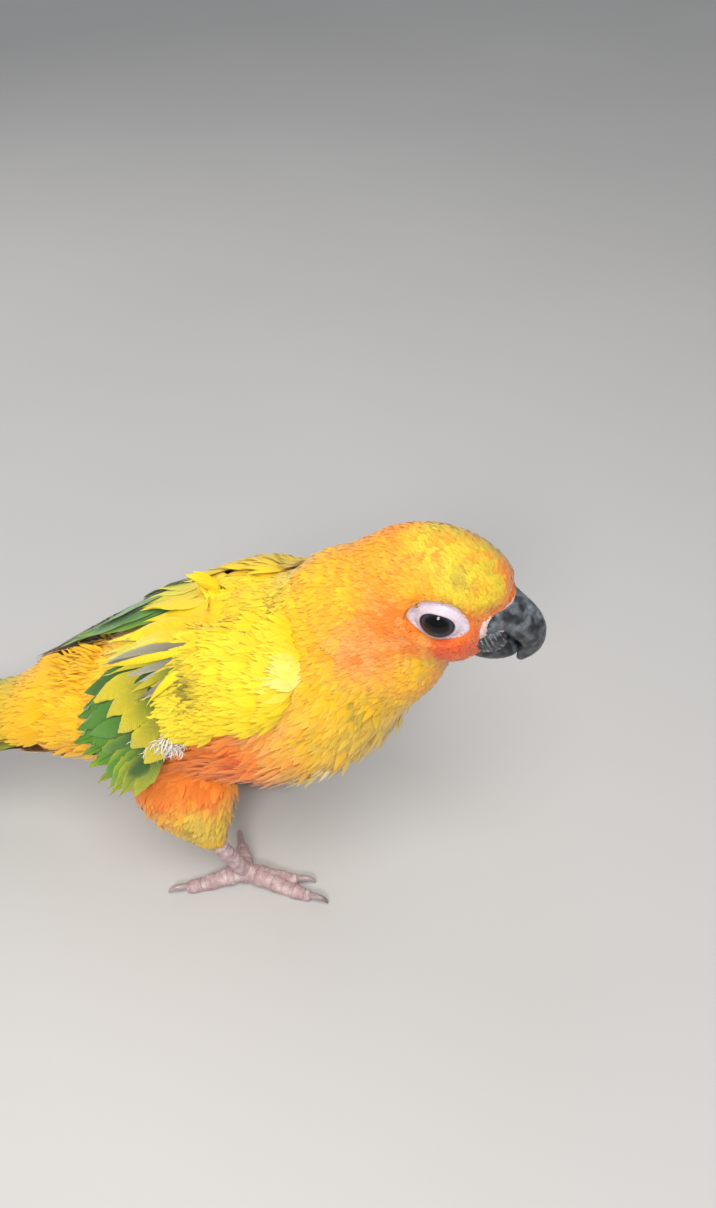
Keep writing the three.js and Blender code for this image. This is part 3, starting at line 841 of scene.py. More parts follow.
def ring_reach(angle):
    """How far an eye's bare ring reaches in a direction round the eye."""
    ahead, back, top, bottom = ring_reaches
    c, s = np.cos(angle), np.sin(angle)
    length = np.where(c > 0, ahead, back)
    height = np.where(s > 0, top, bottom)
    return (np.abs(c / length) ** almond + np.abs(s / height) ** almond) ** (-1 / almond)


def tree_of(form):
    """The surface of a form to find places on; the form is freed."""
    tree = BVHTree.FromBMesh(form)
    form.free()
    return tree


def gaps_to(tree, places):
    """How far each place is from a surface, in millimetres."""
    return np.array([tree.find_nearest(Vector(p))[3] for p in to_row(places)]) / mm


off_bare = gaps_to(tree_of(copied("cere", "bill_lower", "bill_upper", "foot_left", "foot_right")), seeds)
seeds_in_head = in_head(seeds)
from_eye = np.hypot(seeds_in_head[:, 0], seeds_in_head[:, 2])
ring_here = ring_reach(np.arctan2(seeds_in_head[:, 2], seeds_in_head[:, 0]))
on_ring = (np.abs(seeds_in_head[:, 1]) > 6) & (from_eye < ring_here + 0.1)
# nor does a feather grow on the steep rim of the skin behind a ring, where it would stand out sideways
outward = np.abs(seed_normals @ np.array(head_turn))[:, 1]
on_ring |= (from_eye < ring_here + 1.0) & (outward < 0.55)

thigh_share = np.zeros(len(seeds))
low_seeds = np.flatnonzero(seeds[:, 2] < 60)
for half in ("left", "right"):
    far = gaps_to(tree_of(copied(f"thigh_{half}")), seeds[low_seeds])
    thigh_share[low_seeds] = np.maximum(thigh_share[low_seeds], 1 - smoothed(far, 1.2, 5.0))

# the body as the wings' feathers find it, with its coat on
dressed_form = swelled(copied("torso", "neck", "rump", "tail", "wing_left", "wing_right"))
dressed_mesh = softened(remeshed(dressed_form, "dressed", 0.8 * mm), 10, lambda p: np.full(len(p), 0.3))
dressed_form = bmesh.new()
dressed_form.from_mesh(dressed_mesh)
bpy.data.meshes.remove(dressed_mesh)
dressed_tree = tree_of(dressed_form)

off_wing = gaps_to(tree_of(copied("wing_left", "wing_right")), seeds)
covert_end = np.interp(seeds[:, 0], [-8, -1, 5, 10, 21], [79, 83.5, 86, 88, 89.5]) - 1
under_wing = ((off_wing < 2.2) & (np.abs(seeds[:, 1]) > 15.5) & (seeds[:, 0] < 24)
              & (seeds[:, 2] > covert_end))

sizes = weights(seeds, 0.9) @ mark_sizes
root_gap = 0.27
bare_gap = 0.8
coat_rear = -92
# nothing grows where the rear end of each wing's root in the skin is hidden under the scapulars
off_end = np.linalg.norm((seeds - (-5, 0, 97)) * (1, 0, 1), axis=1)
under_scapulars = (off_end < 6.5) & (np.abs(seeds[:, 1]) > 3)
allowed = ((off_bare > bare_gap) & (seeds[:, 0] > coat_rear)
           & ~(on_ring | under_wing | on_bare_face(seeds) | under_scapulars))


def spaced(places, gaps, allowed):
    """Picks places one by one, none nearer to another than its gap."""
    cell = gaps.max()
    grid = {}
    picks = []
    for i in np.flatnonzero(allowed):
        key = tuple((places[i] // cell).astype(int))
        crowd = [j for x in (-1, 0, 1) for y in (-1, 0, 1) for z in (-1, 0, 1)
                 for j in grid.get((key[0] + x, key[1] + y, key[2] + z), ())]
        if crowd and (np.linalg.norm(places[crowd] - places[i], axis=1) < gaps[i]).any():
            continue
        grid.setdefault(key, []).append(i)
        picks.append(i)
    return np.array(picks)


def swayed(ways, normals, degrees):
    """The ways with each one turned a little on the surface, at random."""
    turn = np.radians(draw.normal(0, degrees, len(ways)))[:, None]
    return ways * np.cos(turn) + np.cross(normals, ways) * np.sin(turn)


kept = spaced(seeds, sizes[:, 0] * root_gap, allowed)
roots, root_normals, root_sizes, root_thigh = seeds[kept], seed_normals[kept], sizes[kept], thigh_share[kept]
ways = lie(roots, root_normals, root_thigh)
across = np.cross(root_normals, ways)
ways = swayed(ways, root_normals, 8)
lengths = root_sizes[:, :1] * draw.uniform(0.86, 1.14, (len(roots), 1))
widths = root_sizes[:, 1] * draw.uniform(0.9, 1.1, len(roots))
tip_colour = coat_colour(roots + ways * lengths) * draw.uniform(0.93, 1.07, (len(roots), 1))
small = root_sizes[:, 0] < 5
stray_share = 0.08
fluff = smoothed(-root_normals[:, 2], -0.55, 0.4) * smoothed(root_sizes[:, 0], 5, 9)


def lock_tints(colour):
    """A lock's colours at root, tip and edge, for its colour at the tip."""
    return colour * (0.96, 0.9, 0.82), colour, between(colour, pale, 0.3)


def fanned(base, way, side, length, wide, locks):
    """The locks of barbs that make up each feather: their roots, middles, tips and widths."""
    share = np.linspace(-1, 1, locks)[None, :, None]
    jitter = draw.uniform(-1, 1, (len(base), locks, 3))
    base, way, side = (x[:, None] for x in (base, way, unit(side)))
    length, wide = length[:, None], wide[:, None, None]
    reach = length * (1 - 0.22 * share ** 2 + 0.1 * jitter[..., :1])
    root = base + side * share * wide * 0.1 + way * (np.abs(jitter[..., 1:2]) * 0.1) * length
    middle = base + way * reach * 0.5 + side * (share * 0.4 + 0.08 * jitter[..., 1:2]) * wide
    tip = base + way * reach + side * (share * 0.5 + 0.1 * jitter[..., 2:]) * wide
    lock_width = np.broadcast_to(wide[..., 0] / locks * 2.7, reach.shape[:2])
    return [x.reshape(-1, 3) for x in (root, middle, tip)] + [lock_width.ravel()]


soft_lock = {"finish": coat_finish, "hug": 0.93, "fray": 0.0, "thick": 0.12, "camber": 0.06, "rounding": 0.0,
             "outline": (0.5, 0.6, 1.5, 0.85)}
thighs = root_thigh > 0.5
large = ~small & ~thighs
on_neck = large & (roots[:, 0] > 20) & (roots[:, 2] > 78)
on_rump = large & (roots[:, 0] < -33)
on_trunk = large & ~on_neck & ~on_rump
# each part's feathers, its slot, the locks in a feather and a lock's mesh
coat_parts = {
    "head_feathers": (small & ~thighs, "crown_feathers", 5, Template(2, 3)),
    "neck_feathers": (on_neck, "neck_feathers", 9, Template(2, 4)),
    "thigh_feathers": (thighs, "thigh_feathers", 8, Template(2, 4)),
    "rump_feathers": (on_rump, "rump_feathers", 11, Template(2, 4)),
    "back_feathers": (on_trunk & (roots[:, 2] > 84), "breast_feathers", 12, Template(2, 4)),
    "breast_feathers": (on_trunk & ~(roots[:, 2] > 84), "breast_feathers", 12, Template(2, 4)),
}
for name, (mask, slot, locks, lock) in coat_parts.items():
    def each(values):
        return np.repeat(values[mask], locks, axis=0)

    feather_at = (x[mask] for x in (roots, ways, across, lengths, widths))
    root, middle, tip, lock_width = fanned(*feather_at, locks)
    number = len(root)
    shade = draw.uniform(0.9, 1.08, (number, 1))
    stray = (draw.uniform(0, 1, number) < stray_share) * draw.uniform(0.4, 1.0, number)
    high = each(0.25 + 0.045 * root_sizes[:, 0]) * draw.uniform(0.5, 1.4, number)
    high = high + stray * each(0.05 * root_sizes[:, 0] + 1.6 * fluff)
    feathers(name, lock, root, middle, tip, each(root_normals), lock_width, lift=(0.0, high),
             tints=[each(x) * shade for x in lock_tints(tip_colour)], slot=slot, fringe=0.22, **soft_lock)

# Tail
# Twelve graduated feathers in a flat stack, the middle pair on top, bending down to just above the floor.
# Their roots are covered by pointed golden coverts above and below.

draw = np.random.default_rng(5)
azure = linear(58, 104, 160)
dusk = linear(104, 102, 90)
leaf = linear(92, 150, 46)
moss = linear(70, 104, 38)
meadow = linear(170, 178, 46)
vane_finish = feather_finish("vane", 0.5, 2.6, 0.4, 0.8)
tail_line = [(-51, 0, 55), (-96, 0, 40), (-142, 0, 22), (-187, 0, 9)]
tail_pairs = 6
tail_drop = 1.1
tail_shorter = 0.105
tail_paths = []
for side in (-1, 1):
    for i in range(tail_pairs):
        t = np.array((0.0, 0.5, 1.0))
        line = curve(tail_line, t * (1 - tail_shorter * i))
        line[:, 1] += side * ((1.4 + 1.2 * i) * (1 - t) + (2.6 + 1.5 * i) * t)
        line[:, 2] += 2 - tail_drop * (i + (0.5 if side > 0 else 0))
        tail_paths.append((line[0], 2 * line[1] - (line[0] + line[2]) / 2, line[2]))
tail_root_at, tail_middle, tail_tip = (np.array([path[k] for path in tail_paths]) for k in range(3))
tail_count = len(tail_paths)
tail_up = np.tile((0.33, 0, 0.94), (tail_count, 1))


def same(colour, count):
    return np.tile(colour, (count, 1))


feathers("tail_vanes", Template(8, 40), tail_root_at, tail_middle, tail_tip, tail_up,
         np.full(tail_count, 11.6), lift=(0.0, 0.0), finish=vane_finish, slot="tail_feathers",
         tints=[same(x, tail_count) for x in (meadow, azure, moss)], replaced=("tail",), free=True,
         fray=0.02, thick=0.3, camber=-0.3, outline=(0.6, 0.35, 2.4, 0.85), rounding=0.1, fringe=0.4,
         underside=dusk, splits=3)
shaft = {"finish": vane_finish, "fray": 0, "rounding": 0, "outline": (0.1, 0.5, 1.0, 0.8)}
feathers("tail_shafts", Template(2, 20), tail_root_at, tail_middle, tail_tip, tail_up,
         np.full(tail_count, 0.8), lift=(0.1, 0.05), tints=[same(bronze, tail_count)] * 3,
         slot="tail_feathers", free=True, thick=0.6, camber=0, **shaft)


def soft_patch(name, side, lines, rows, columns, length, width, locks, tint_of, slot, lift=(-0.3, 0.7)):
    """Rows of soft feathers between lines that run across their lie, each line from top to bottom."""
    mirror = np.array((1, side, 1))
    r, c = np.meshgrid(np.arange(rows) / (rows - 1), np.arange(columns), indexing="ij")
    c = (c + 0.5 * (np.arange(rows) % 2)[:, None]) / (columns - 0.5)
    r, c = r.ravel(), c.ravel()
    r = np.clip(r + draw.uniform(-0.25, 0.25, len(r)) / rows, 0, 1)

    def place_at(r, c):
        across_lines = np.stack([curve(line, c) for line in lines])
        return np.array([curve(across_lines[:, k], np.array(r[k])) for k in range(len(r))]) * mirror

    way = unit(place_at(np.minimum(1, r + 0.05), c) - place_at(np.maximum(0, r - 0.05), c))
    base, normal, _ = nearest(place_at(r, c), dressed_tree)
    way = off_surface(way, normal)
    aside = np.cross(normal, way)
    way = swayed(way, normal, 5)
    long = (length[0] * (1 - r) + length[1] * r)[:, None] * draw.uniform(0.9, 1.1, (len(r), 1))
    wide = (width[0] * (1 - r) + width[1] * r) * draw.uniform(0.9, 1.1, len(r))
    root, middle, tip, lock_width = fanned(base, way, aside, long, wide, locks)
    end = tint_of(base + way * long, r) * draw.uniform(0.95, 1.05, (len(r), 1))
    shade = draw.uniform(0.92, 1.06, (len(r) * locks, 1))
    high = lift[1] * draw.uniform(0.7, 1.3, len(root))
    feathers(name, Template(2, 4), root, middle, tip, np.repeat(normal, locks, axis=0), lock_width,
             lift=(lift[0], high), tints=[np.repeat(x, locks, axis=0) * shade for x in lock_tints(end)],
             slot=slot, fringe=0.18, over=dressed_tree, **soft_lock)


def tail_covert_tint(places, r):
    return between(saffron, meadow, smoothed(-places[:, 0], 62, 84)[:, None])


above_tail = [[(-46, 0.5, 67.5), (-47, 6, 65), (-48, 10.5, 57)],
              [(-60, 0.5, 59), (-61, 5, 57.5), (-61, 9, 53)],
              [(-70, 0.5, 54.5), (-71, 4, 53.5), (-71, 7.5, 50)]]
below_tail = [[(-48, 0.5, 42.5), (-50, 6, 43), (-50, 10, 49)],
              [(-64, 0.5, 40.5), (-66, 5, 41), (-66, 8.5, 46)],
              [(-74, 0.5, 38.5), (-75, 3.5, 39), (-76, 7, 43)]]
for side, half in ((1, "left"), (-1, "right")):
    soft_patch(f"tail_coverts_{half}", side, above_tail, 6, 5, (14, 18), (7.5, 7.5), 9, tail_covert_tint,
               "rump_feathers")
    soft_patch(f"vent_coverts_{half}", side, below_tail, 5, 5, (13, 16), (7.5, 7), 9, tail_covert_tint,
               "rump_feathers")

# Wings
# Each folded wing has a short fan of flight feathers, firm coverts over their roots and soft small coverts
# up to the shoulder. Tertials and scapulars lie over all from the back. The left wing is the longer one.

jade = linear(104, 160, 104)
yellow_green = linear(212, 214, 64)
citron = linear(228, 214, 40)
dove = linear(170, 168, 150)
earth = linear(128, 118, 96)
cream = linear(250, 246, 190)
night = linear(42, 72, 40)
lobe = linear(212, 194, 44)


def along_row(values, count):
    """Values spread evenly over a row of feathers, blended in between."""
    values = np.asarray(values, float)
    share = np.linspace(0, len(values) - 1, count)
    low = np.minimum(share.astype(int), len(values) - 2)
    part = (share - low)[:, None]
    return between(values[low], values[low + 1], part)


def on_body(places):
    """The nearest places on the dressed body, with normals that don't point in where two forms meet."""
    at, normal, _ = nearest(places, dressed_tree)
    outward = unit((at - (0, 0, 70)) * (0, 1, 1))
    return at, np.where((normal * outward).sum(1, keepdims=True) < 0.3, outward, normal)


def tier(name, side, count, roots_line, tips_line, width, base, end, edge, *, laid=True, sink=0.9, rise=0.5,
         bow=0.5, form=Template(6, 14), shape=(0.5, 0.5, 2.4, 0.6), roll=8, lift=(-0.2, 0.6), wander=0.5,
         shafts=False, replaced=(), splits=2, underside=None, hug=0.0, sway=0.0):
    """A row of firm vanes from one line to another. A laid row lies on the dressed body: its roots are sunk
    into it and its tips stand a little proud. Colours run along the row from its top to its bottom."""
    mirror = np.array((1, side, 1))
    share = np.linspace(0, 1, count)
    tip = curve(tips_line, share) * mirror + draw.uniform(-1, 1, (count, 3)) * wander
    root, root_normal = on_body(curve(roots_line, share) * mirror)
    root = root - root_normal * sink
    if laid:
        tip_at, tip_normal, _ = nearest(tip, dressed_tree)
        tip = tip_at + tip_normal * rise
    straight = (root + tip) / 2
    centre, normal = on_body(straight)
    height = ((straight - centre) * normal).sum(1, keepdims=True)
    crest = straight + normal * np.maximum(0, bow - height)
    middle = 2 * crest - straight + draw.normal(0, 1, (count, 3)) * sway
    beside = np.vstack([normal[:1], normal, normal[-1:]])
    up = unit(beside[:-2] + normal + beside[2:] + 1.5 * root_normal)
    tints = [along_row(x, count) * draw.uniform(0.94, 1.06, (count, 1)) for x in (base, end, edge)]
    wide = np.interp(share, np.linspace(0, 1, np.size(width)), np.ravel(width))
    wide = wide * draw.uniform(0.94, 1.06, count)
    laying = {"slot": "wing_feathers", "hug": hug, "camber": 0.35, "over": dressed_tree, "stiff": True}
    feathers(name, form, root, middle, tip, up, wide, lift=lift, tints=tints, finish=vane_finish,
             replaced=replaced, fray=0.05, thick=0.22, outline=shape, roll=-side * roll, rounding=0.35,
             fringe=0.5, splits=splits, underside=underside, **laying)
    if shafts:
        feathers(name + "_shafts", Template(2, 12), root, middle, tip, up, np.full(count, 0.5),
                 lift=(lift[0] + 0.3, lift[1] + 0.3), tints=[x * 0.55 for x in tints], thick=0.36, **shaft,
                 **laying)


flight = {"laid": False, "sink": 0.6, "form": Template(8, 30), "shape": (0.55, 0.45, 2.2, 0.74),
          "shafts": True, "splits": 4, "underside": earth}
# The near wing's flight feathers are darkest at their roots and at the top of the row: their own dark green,
# deepened there as painted shade under the coverts.
tier("flight_right", -1, 12, [(-4, 17, 93), (-5, 23, 86), (-8, 26, 79)],
     [(-33, 15.5, 79), (-35.5, 21, 69), (-29, 26.5, 58), (-20.5, 28.4, 56)], [9, 9, 6.5, 5],
     [night, night, moss, moss], [moss, leaf, leaf, meadow], [leaf, leaf, citron, citron],
     replaced=("wing_right",), wander=0.9, **flight)
tier("flight_left", 1, 12, [(-3, 18, 92), (-1, 24, 84), (-1, 27, 76)],
     [(-38, 4, 81), (-62, 9, 61), (-48, 20, 56)], 10.5,
     [leaf, jade, leaf, jade], [jade, dove, earth, leaf], [meadow, dove, dove, leaf],
     replaced=("wing_left",), wander=0.8, **flight)

tier("primary_coverts_right", -1, 5, [(-8, 23.5, 86), (-8, 26.5, 77)],
     [(-30.5, 21.5, 72), (-20.5, 27.2, 64)], 6.0, [night, night], [leaf, moss], [leaf, yellow_green],
     rise=1.0, sink=0.8, shafts=True, bow=1.0)
tier("greater_right", -1, 5, [(-9, 14.8, 94.5), (-7, 20, 90), (-4.5, 25.5, 83.5)],
     [(-28, 18.5, 80), (-20, 24.2, 77.5), (-14, 27.2, 71)], 5.2, [olive, moss, olive], [lobe, lobe, lobe],
     [citron, citron, citron], rise=1.8, sink=0.8, shape=(0.64, 0.4, 2.8, 0.5), shafts=True, bow=1.5)
tier("greater_left", 1, 8, [(-3, 15, 96.8), (-3.5, 20, 92), (-3.5, 25, 84)],
     [(-26, 13, 87), (-28, 20, 80), (-20, 25.5, 70)], 8.6, [leaf, leaf, leaf], [leaf, yellow_green, citron],
     [meadow, citron, citron], rise=0.9, shafts=True)

covert_lines = [[(27, 10, 106), (26, 20, 99), (21, 25.5, 90.5)],
                [(14, 11, 105), (13, 21, 97.5), (10, 27.1, 89)],
                [(6, 12.5, 102), (5.5, 21.5, 95), (5, 27, 87)],
                [(-2, 14.5, 98.5), (-2.5, 22, 91), (-1, 27, 84.5)]]
# a patch of painted shade in dark bronze between the right wing's coverts, and a painted highlight in cream
# on each shoulder
painted_shade_spot = np.array((-3.7, 20.9, 92.5))
painted_highlight_spot = np.array((20, 21, 98.5))


def covert_tint(places, r):
    """Lemon, more citron toward the tips, with a painted highlight at the shoulder and painted shade on the
    right.
    """
    def spot(centre, reach):
        mirrored = places * (1, 0, 1) + np.abs(places) * (0, 1, 0)
        return np.exp(-(np.linalg.norm(mirrored - centre, axis=1) / reach) ** 2)[:, None]

    tint = between(lemon, citron, (smoothed(r, 0.5, 1.0) * 0.6)[:, None])
    # painted highlight in cream over the shoulder
    tint = between(tint, cream, 0.5 * spot(painted_highlight_spot, 3.6))
    # painted shade in dark bronze, on the right wing only
    return between(tint, bronze, 0.95 * spot(painted_shade_spot, 4.2) * (places[:, 1:2] < 0))


for side, half in ((-1, "right"), (1, "left")):
    soft_patch(f"coverts_{half}", side, covert_lines, 9, 9, (9, 13), (6.5, 8.5), 10, covert_tint,
               "wing_feathers", lift=(-0.2, 1.2))

pointed = (0.42, 0.5, 1.7, 0.93)
tier("tertials_right", -1, 18, [(4, 13.5, 101.5), (0, 16, 98)],
     [(-31, 8.5, 86), (-25, 15, 85), (-12, 22, 86)], 2.1, [earth, dove, moss, dove, earth, citron] * 3,
     [moss, dove, lobe, earth, dove, lemon] * 3, [dove, cream, citron, dove, cream, citron] * 3,
     rise=1.6, shape=pointed, sway=1.3, bow=1.2)
tier("tertials_left", 1, 8, [(2, 5, 103), (0, 10, 100), (-2, 15, 96)],
     [(-44, 2, 76.5), (-52, 8, 71), (-34, 16, 79)], 9.0, [leaf, leaf, moss], [leaf, jade, dove],
     [meadow, dove, dove], rise=0.8, hug=0.9, roll=3, shafts=True, underside=dusk, sink=2.2)
scapular_roots = [(4, 2, 103.5), (2, 8, 102), (-1, 13, 99)]
tier("scapular_right", -1, 8, scapular_roots, [(-22, 1.5, 91), (-30, 6.5, 86), (-26, 11.5, 87)], 6.8,
     [lemon, golden, lemon], [lemon, citron], [citron, cream], rise=1.3, shape=pointed, sink=0.4,
     lift=(0.1, 1.0))
tier("scapular_left", 1, 7, scapular_roots, [(-20, 2, 91.5), (-24, 6, 88.5), (-20, 11, 90)], 8.6,
     [lemon, lemon], [lemon, yellow_green], [citron, citron], rise=1.8, shape=pointed, sink=1.3, hug=0.9,
     roll=3, lift=(-0.2, 1.5))

# Down
# White down that shows under the end of the near wing's bright coverts, and a tuft of loose golden feathers
# that lies back over the rump between the wings.

white = linear(226, 218, 206)
loose_barb = {"finish": coat_finish, "hug": 0.0, "fray": 0, "thick": 0.1, "camber": 0.05, "rounding": 0}
down_count = 500
flat_spread = (1, 0.5, 1)
down_root = between((-5.0, -26.4, 80.4), (-12.5, -26.0, 75.4), draw.uniform(0, 1, (down_count, 1)))
down_root = down_root + draw.normal(0, 0.9, (down_count, 3)) * flat_spread
down_way = unit(np.array((-0.35, -0.1, -0.9)) + draw.normal(0, 0.45, (down_count, 3)) * flat_spread)
down_tip = down_root + down_way * draw.uniform(2, 4.6, (down_count, 1)) + np.array((0, -0.4, 0))
down_middle = (down_root + down_tip) / 2 + draw.normal(0, 1.2, (down_count, 3)) * flat_spread
feathers("down", Template(2, 4), down_root, down_middle, down_tip, same((-0.2, -1, 0.1), down_count),
         np.full(down_count, 0.42), lift=(0.1, 0.5), tints=[same(white, down_count)] * 3,
         slot="breast_feathers", outline=(0.4, 0.6, 1.5, 0.85), **loose_barb)

tuft_count = 240
tuft_root = np.array((-39.0, -1.0, 74.5)) + draw.normal(0, 1, (tuft_count, 3)) * (5.0, 4.0, 0.2)
tuft_way = unit(np.array((-0.9, 0.05, -0.12)) + draw.normal(0, 0.22, (tuft_count, 3)))
tuft_root, tuft_normal, _ = nearest(tuft_root)
tuft_tip = tuft_root + tuft_way * draw.uniform(4, 7.5, (tuft_count, 1))
tuft_middle = (tuft_root + tuft_tip) / 2 + np.array((0, 0, 1.2))
tuft_tint = same(golden, tuft_count) * draw.uniform(0.9, 1.02, (tuft_count, 1))
feathers("rump_tuft", Template(2, 4), tuft_root, tuft_middle, tuft_tip, tuft_normal,
         np.full(tuft_count, 0.9), lift=(-0.1, 0.5), slot="rump_feathers", outline=(0.5, 0.6, 1.5, 0.85),
         tints=(tuft_tint * (0.95, 0.85, 0.7), tuft_tint, between(tuft_tint, pale, 0.2)), **loose_barb)

# Eyes
# Round wet eyes with a black pupil in a dark grey-brown iris, set in their sockets with the cornea a
# little proud.

eye_radius = 4.6
eye_side = 8.75
cornea_rise = 0.3
cornea_width = 2.4
ramp_span = 8
eye_finish, eye_shader = new_finish("wet_eye", Roughness=0.04, Coat_Weight=0.45, Coat_Roughness=0.02,
                                    Specular_IOR_Level=0.05)
off_pupil = add_node(eye_finish, "Attribute", attribute_name="off_pupil").outputs["Fac"]
eye_noise = math_node(eye_finish, "SUBTRACT", grain_of(eye_finish, 2600.0, 3.0), 0.5)
eye_noise = math_node(eye_finish, "MULTIPLY", eye_noise, 0.05)
eye_tone = ramp(eye_finish, math_node(eye_finish, "ADD", off_pupil, eye_noise),
                (0.0, (0.0015, 0.0015, 0.0015)), (0.31, (0.002, 0.002, 0.002)), (0.36, linear(26, 24, 28)),
                (0.44, linear(60, 60, 70)), (0.5, linear(50, 48, 54)), (0.58, (0.01, 0.008, 0.008)))
feed(eye_finish, eye_tone, eye_shader.inputs["Base Color"])


def mesh_of(form, name):
    """The form as a smooth mesh with its faces pointing outwards."""
    bmesh.ops.remove_doubles(form, verts=form.verts, dist=1e-7)
    bmesh.ops.recalc_face_normals(form, faces=form.faces)
    mesh = mesh_from(form, name)
    mesh.shade_smooth()
    return mesh


for side, half in ((-1, "right"), (1, "left")):
    eye_form = bmesh.new()

    def eye_surface(t, angle):
        off = eye_radius * math.sin(math.pi * t)
        front = eye_radius * math.cos(math.pi * t)
        if front > 0:
            front += cornea_rise * math.exp(-(off / cornea_width) ** 2)
        return row(*on_head(off * math.cos(angle), side * (eye_side + front), off * math.sin(angle)))

    wrapped(eye_form, 64, 48, eye_surface)
    eye_mesh = mesh_of(eye_form, f"eyeball_{half}")
    eye_places = in_head(places_of(eye_mesh))
    turn = np.arctan2(np.hypot(eye_places[:, 0], eye_places[:, 2]), side * eye_places[:, 1] - eye_side)
    share = (eye_radius * turn / ramp_span).astype(np.float32)
    eye_mesh.attributes.new("off_pupil", "FLOAT", "POINT").data.foreach_set("value", share)
    made_object(f"eyeball_{half}", eye_mesh, eye_finish, "eye", (f"eye_{half}",))

# Eye rings
# A bare pad of pale wrinkled skin round each eye, almond-shaped, with a thick rolled lid at its opening and
# fine folds that run round it. Its rim is tucked under the feathers.

lid_half = (3.72, 2.95)
lid_rise = 0.34
lid_groove = 0.12
pad_rise = 0.45
pad_thick = 1.1
under_feathers = 0.35
around_rim = 28
around_eye = 132
lilac = linear(216, 204, 216)
lid_grey = linear(120, 96, 100)
blush = linear(226, 178, 164)
ring_finish = grained_finish("bare_skin", (2200.0, 4.0, 0.6), ((0.3, (0.8, 0.76, 0.78)), (0.6, (1, 1, 1))),
                             (0.5, 0.0002), Roughness=0.55, Specular_IOR_Level=0.35)

for side, half in ((-1, "right"), (1, "left")):
    # a torus whose tube runs from the lid, at q = 0, to the rim, at q = 1, with its lower half inside
    ring_form = bmesh.new()
    upright = Matrix.Translation((3, 0, 0)) @ Matrix.Rotation(math.pi / 2, 4, "X")
    bmesh.ops.create_circle(ring_form, cap_ends=False, segments=around_rim, radius=1, matrix=upright)
    bmesh.ops.spin(ring_form, geom=ring_form.verts[:] + ring_form.edges[:], cent=(0, 0, 0), axis=(0, 0, 1),
                   dvec=(0, 0, 0), angle=2 * math.pi, steps=around_eye, use_merge=True)
    for v in ring_form.verts:
        angle = math.atan2(v.co.y, v.co.x)
        q = (math.hypot(v.co.x, v.co.y) - 2) / 2
        outer = v.co.z
        lid = math.hypot(lid_half[0] * math.cos(angle), lid_half[1] * math.sin(angle))
        off = lid + (float(ring_reach(np.array(angle))) + under_feathers - lid) * q
        x, z = off * math.cos(angle), off * math.sin(angle)
        start = on_head(x, side * 24, z)
        found, _, _, _ = skin_tree.ray_cast(row(*start), head_turn @ Vector((0, -side, 0)))
        flesh_at = side * float(in_head(to_bird(np.array(found)))[1])
        blend = float(smoothed(np.array(q), 0.12, 0.62))
        rim = eye_side + math.sqrt(eye_radius ** 2 - lid ** 2) + 0.12
        level = rim * (1 - blend) + (flesh_at + pad_rise) * blend
        level += lid_rise * math.exp(-((q - 0.1) / 0.08) ** 2)
        level -= lid_groove * math.exp(-((q - 0.27) / 0.05) ** 2)
        waver = noise.noise(Vector((x, z, side * 5)) * 0.5)
        tucked = float(smoothed(np.array(q), 0.8, 1.0))
        folds = float(smoothed(np.array(q), 0.2, 0.35)) * (1 - tucked)
        fold = 0.07 * math.sin(2 * math.pi * (q * 5 + waver)) + 0.04 * math.sin(angle * 29 + waver * 9)
        level += folds * fold - tucked
        if outer < 0:
            level += pad_thick * outer
        v.co = row(*on_head(x, side * level, z))
    ring_mesh = mesh_of(ring_form, f"bare_ring_{half}")
    ring_places = in_head(places_of(ring_mesh))
    off = np.hypot(ring_places[:, 0], ring_places[:, 2])
    angle = np.arctan2(ring_places[:, 2], ring_places[:, 0])
    lid = np.hypot(lid_half[0] * np.cos(angle), lid_half[1] * np.sin(angle))
    margin = (1 - smoothed(off, lid, lid + 0.5))[:, None]
    border = smoothed(off / ring_reach(angle), 0.85, 1.02)[:, None]
    colour_attribute(ring_mesh, between(between(lilac, lid_grey, margin), blush, 0.7 * border))
    made_object(f"bare_ring_{half}", ring_mesh, ring_finish, "eye_ring", (f"eye_ring_{half}",))

# Cere
# A narrow band of bare, pale pink, wrinkled skin over the root of the bill, with two nostrils in it. It is
# broadest at its root, where the face's feathers end.

bill_base = 12.9
cere_thick = 1.7


def limb(form, path, widths, depths, up, around=32, rings=24, roundness=4.0):
    """A closed limb along a curve, with its half widths and half depths along it; up is the depth's side."""
    made = bmesh.ops.create_uvsphere(form, u_segments=around, v_segments=rings, radius=1)["verts"]
    ball = np.array([v.co for v in made])
    t = (1 - ball[:, 2]) / 2
    angle = np.arctan2(ball[:, 1], ball[:, 0])
    share = np.clip(1 - np.abs(2 * t - 1) ** roundness, 0, 1) ** (1 / roundness)
    at = curve(path, t)
    ahead = unit(curve(path, np.minimum(1, t + 0.01)) - curve(path, np.maximum(0, t - 0.01)))
    side = unit(np.cross(np.array(up), ahead))
    top = np.cross(ahead, side)
    wide = curve([(w, 0) for w in widths], t)[:, 0]
    deep = curve([(d, 0) for d in depths], t)[:, 0]
    at = at + side * (np.cos(angle) * share * wide)[:, None] + top * (np.sin(angle) * share * deep)[:, None]
    for v, place in zip(made, to_row(at)):
        v.co = place


def on_head_path(*places):
    return [tuple(on_head(*place)) for place in places]


def shaped(mesh, rise):
    """Moves each vertex out along its normal by rise(places), in millimetres."""
    places = places_of(mesh)
    move_vertices(mesh, to_row(places + normals_of(mesh) * rise(places)[:, None]))
    mesh.shade_smooth()
    return places


head_up = tuple(head_turn @ Vector((0, 0, 1)))
cere_form = bmesh.new()
limb(cere_form, on_head_path((8, 0, -0.9), (bill_base + cere_thick + 0.2, 0, -0.8)),
     (9.6, 9.2, 7.6, 6.2, 5.2), (6.4, 6.4), head_up, around=128, rings=56, roundness=4.5)
cere_mesh = mesh_of(cere_form, "pink_cere")

nostril_at = np.array((bill_base + 1.4, 0, 3.9))
nostril_side = 2.8
nostril_half = (1.6, 0.75, 0.65)


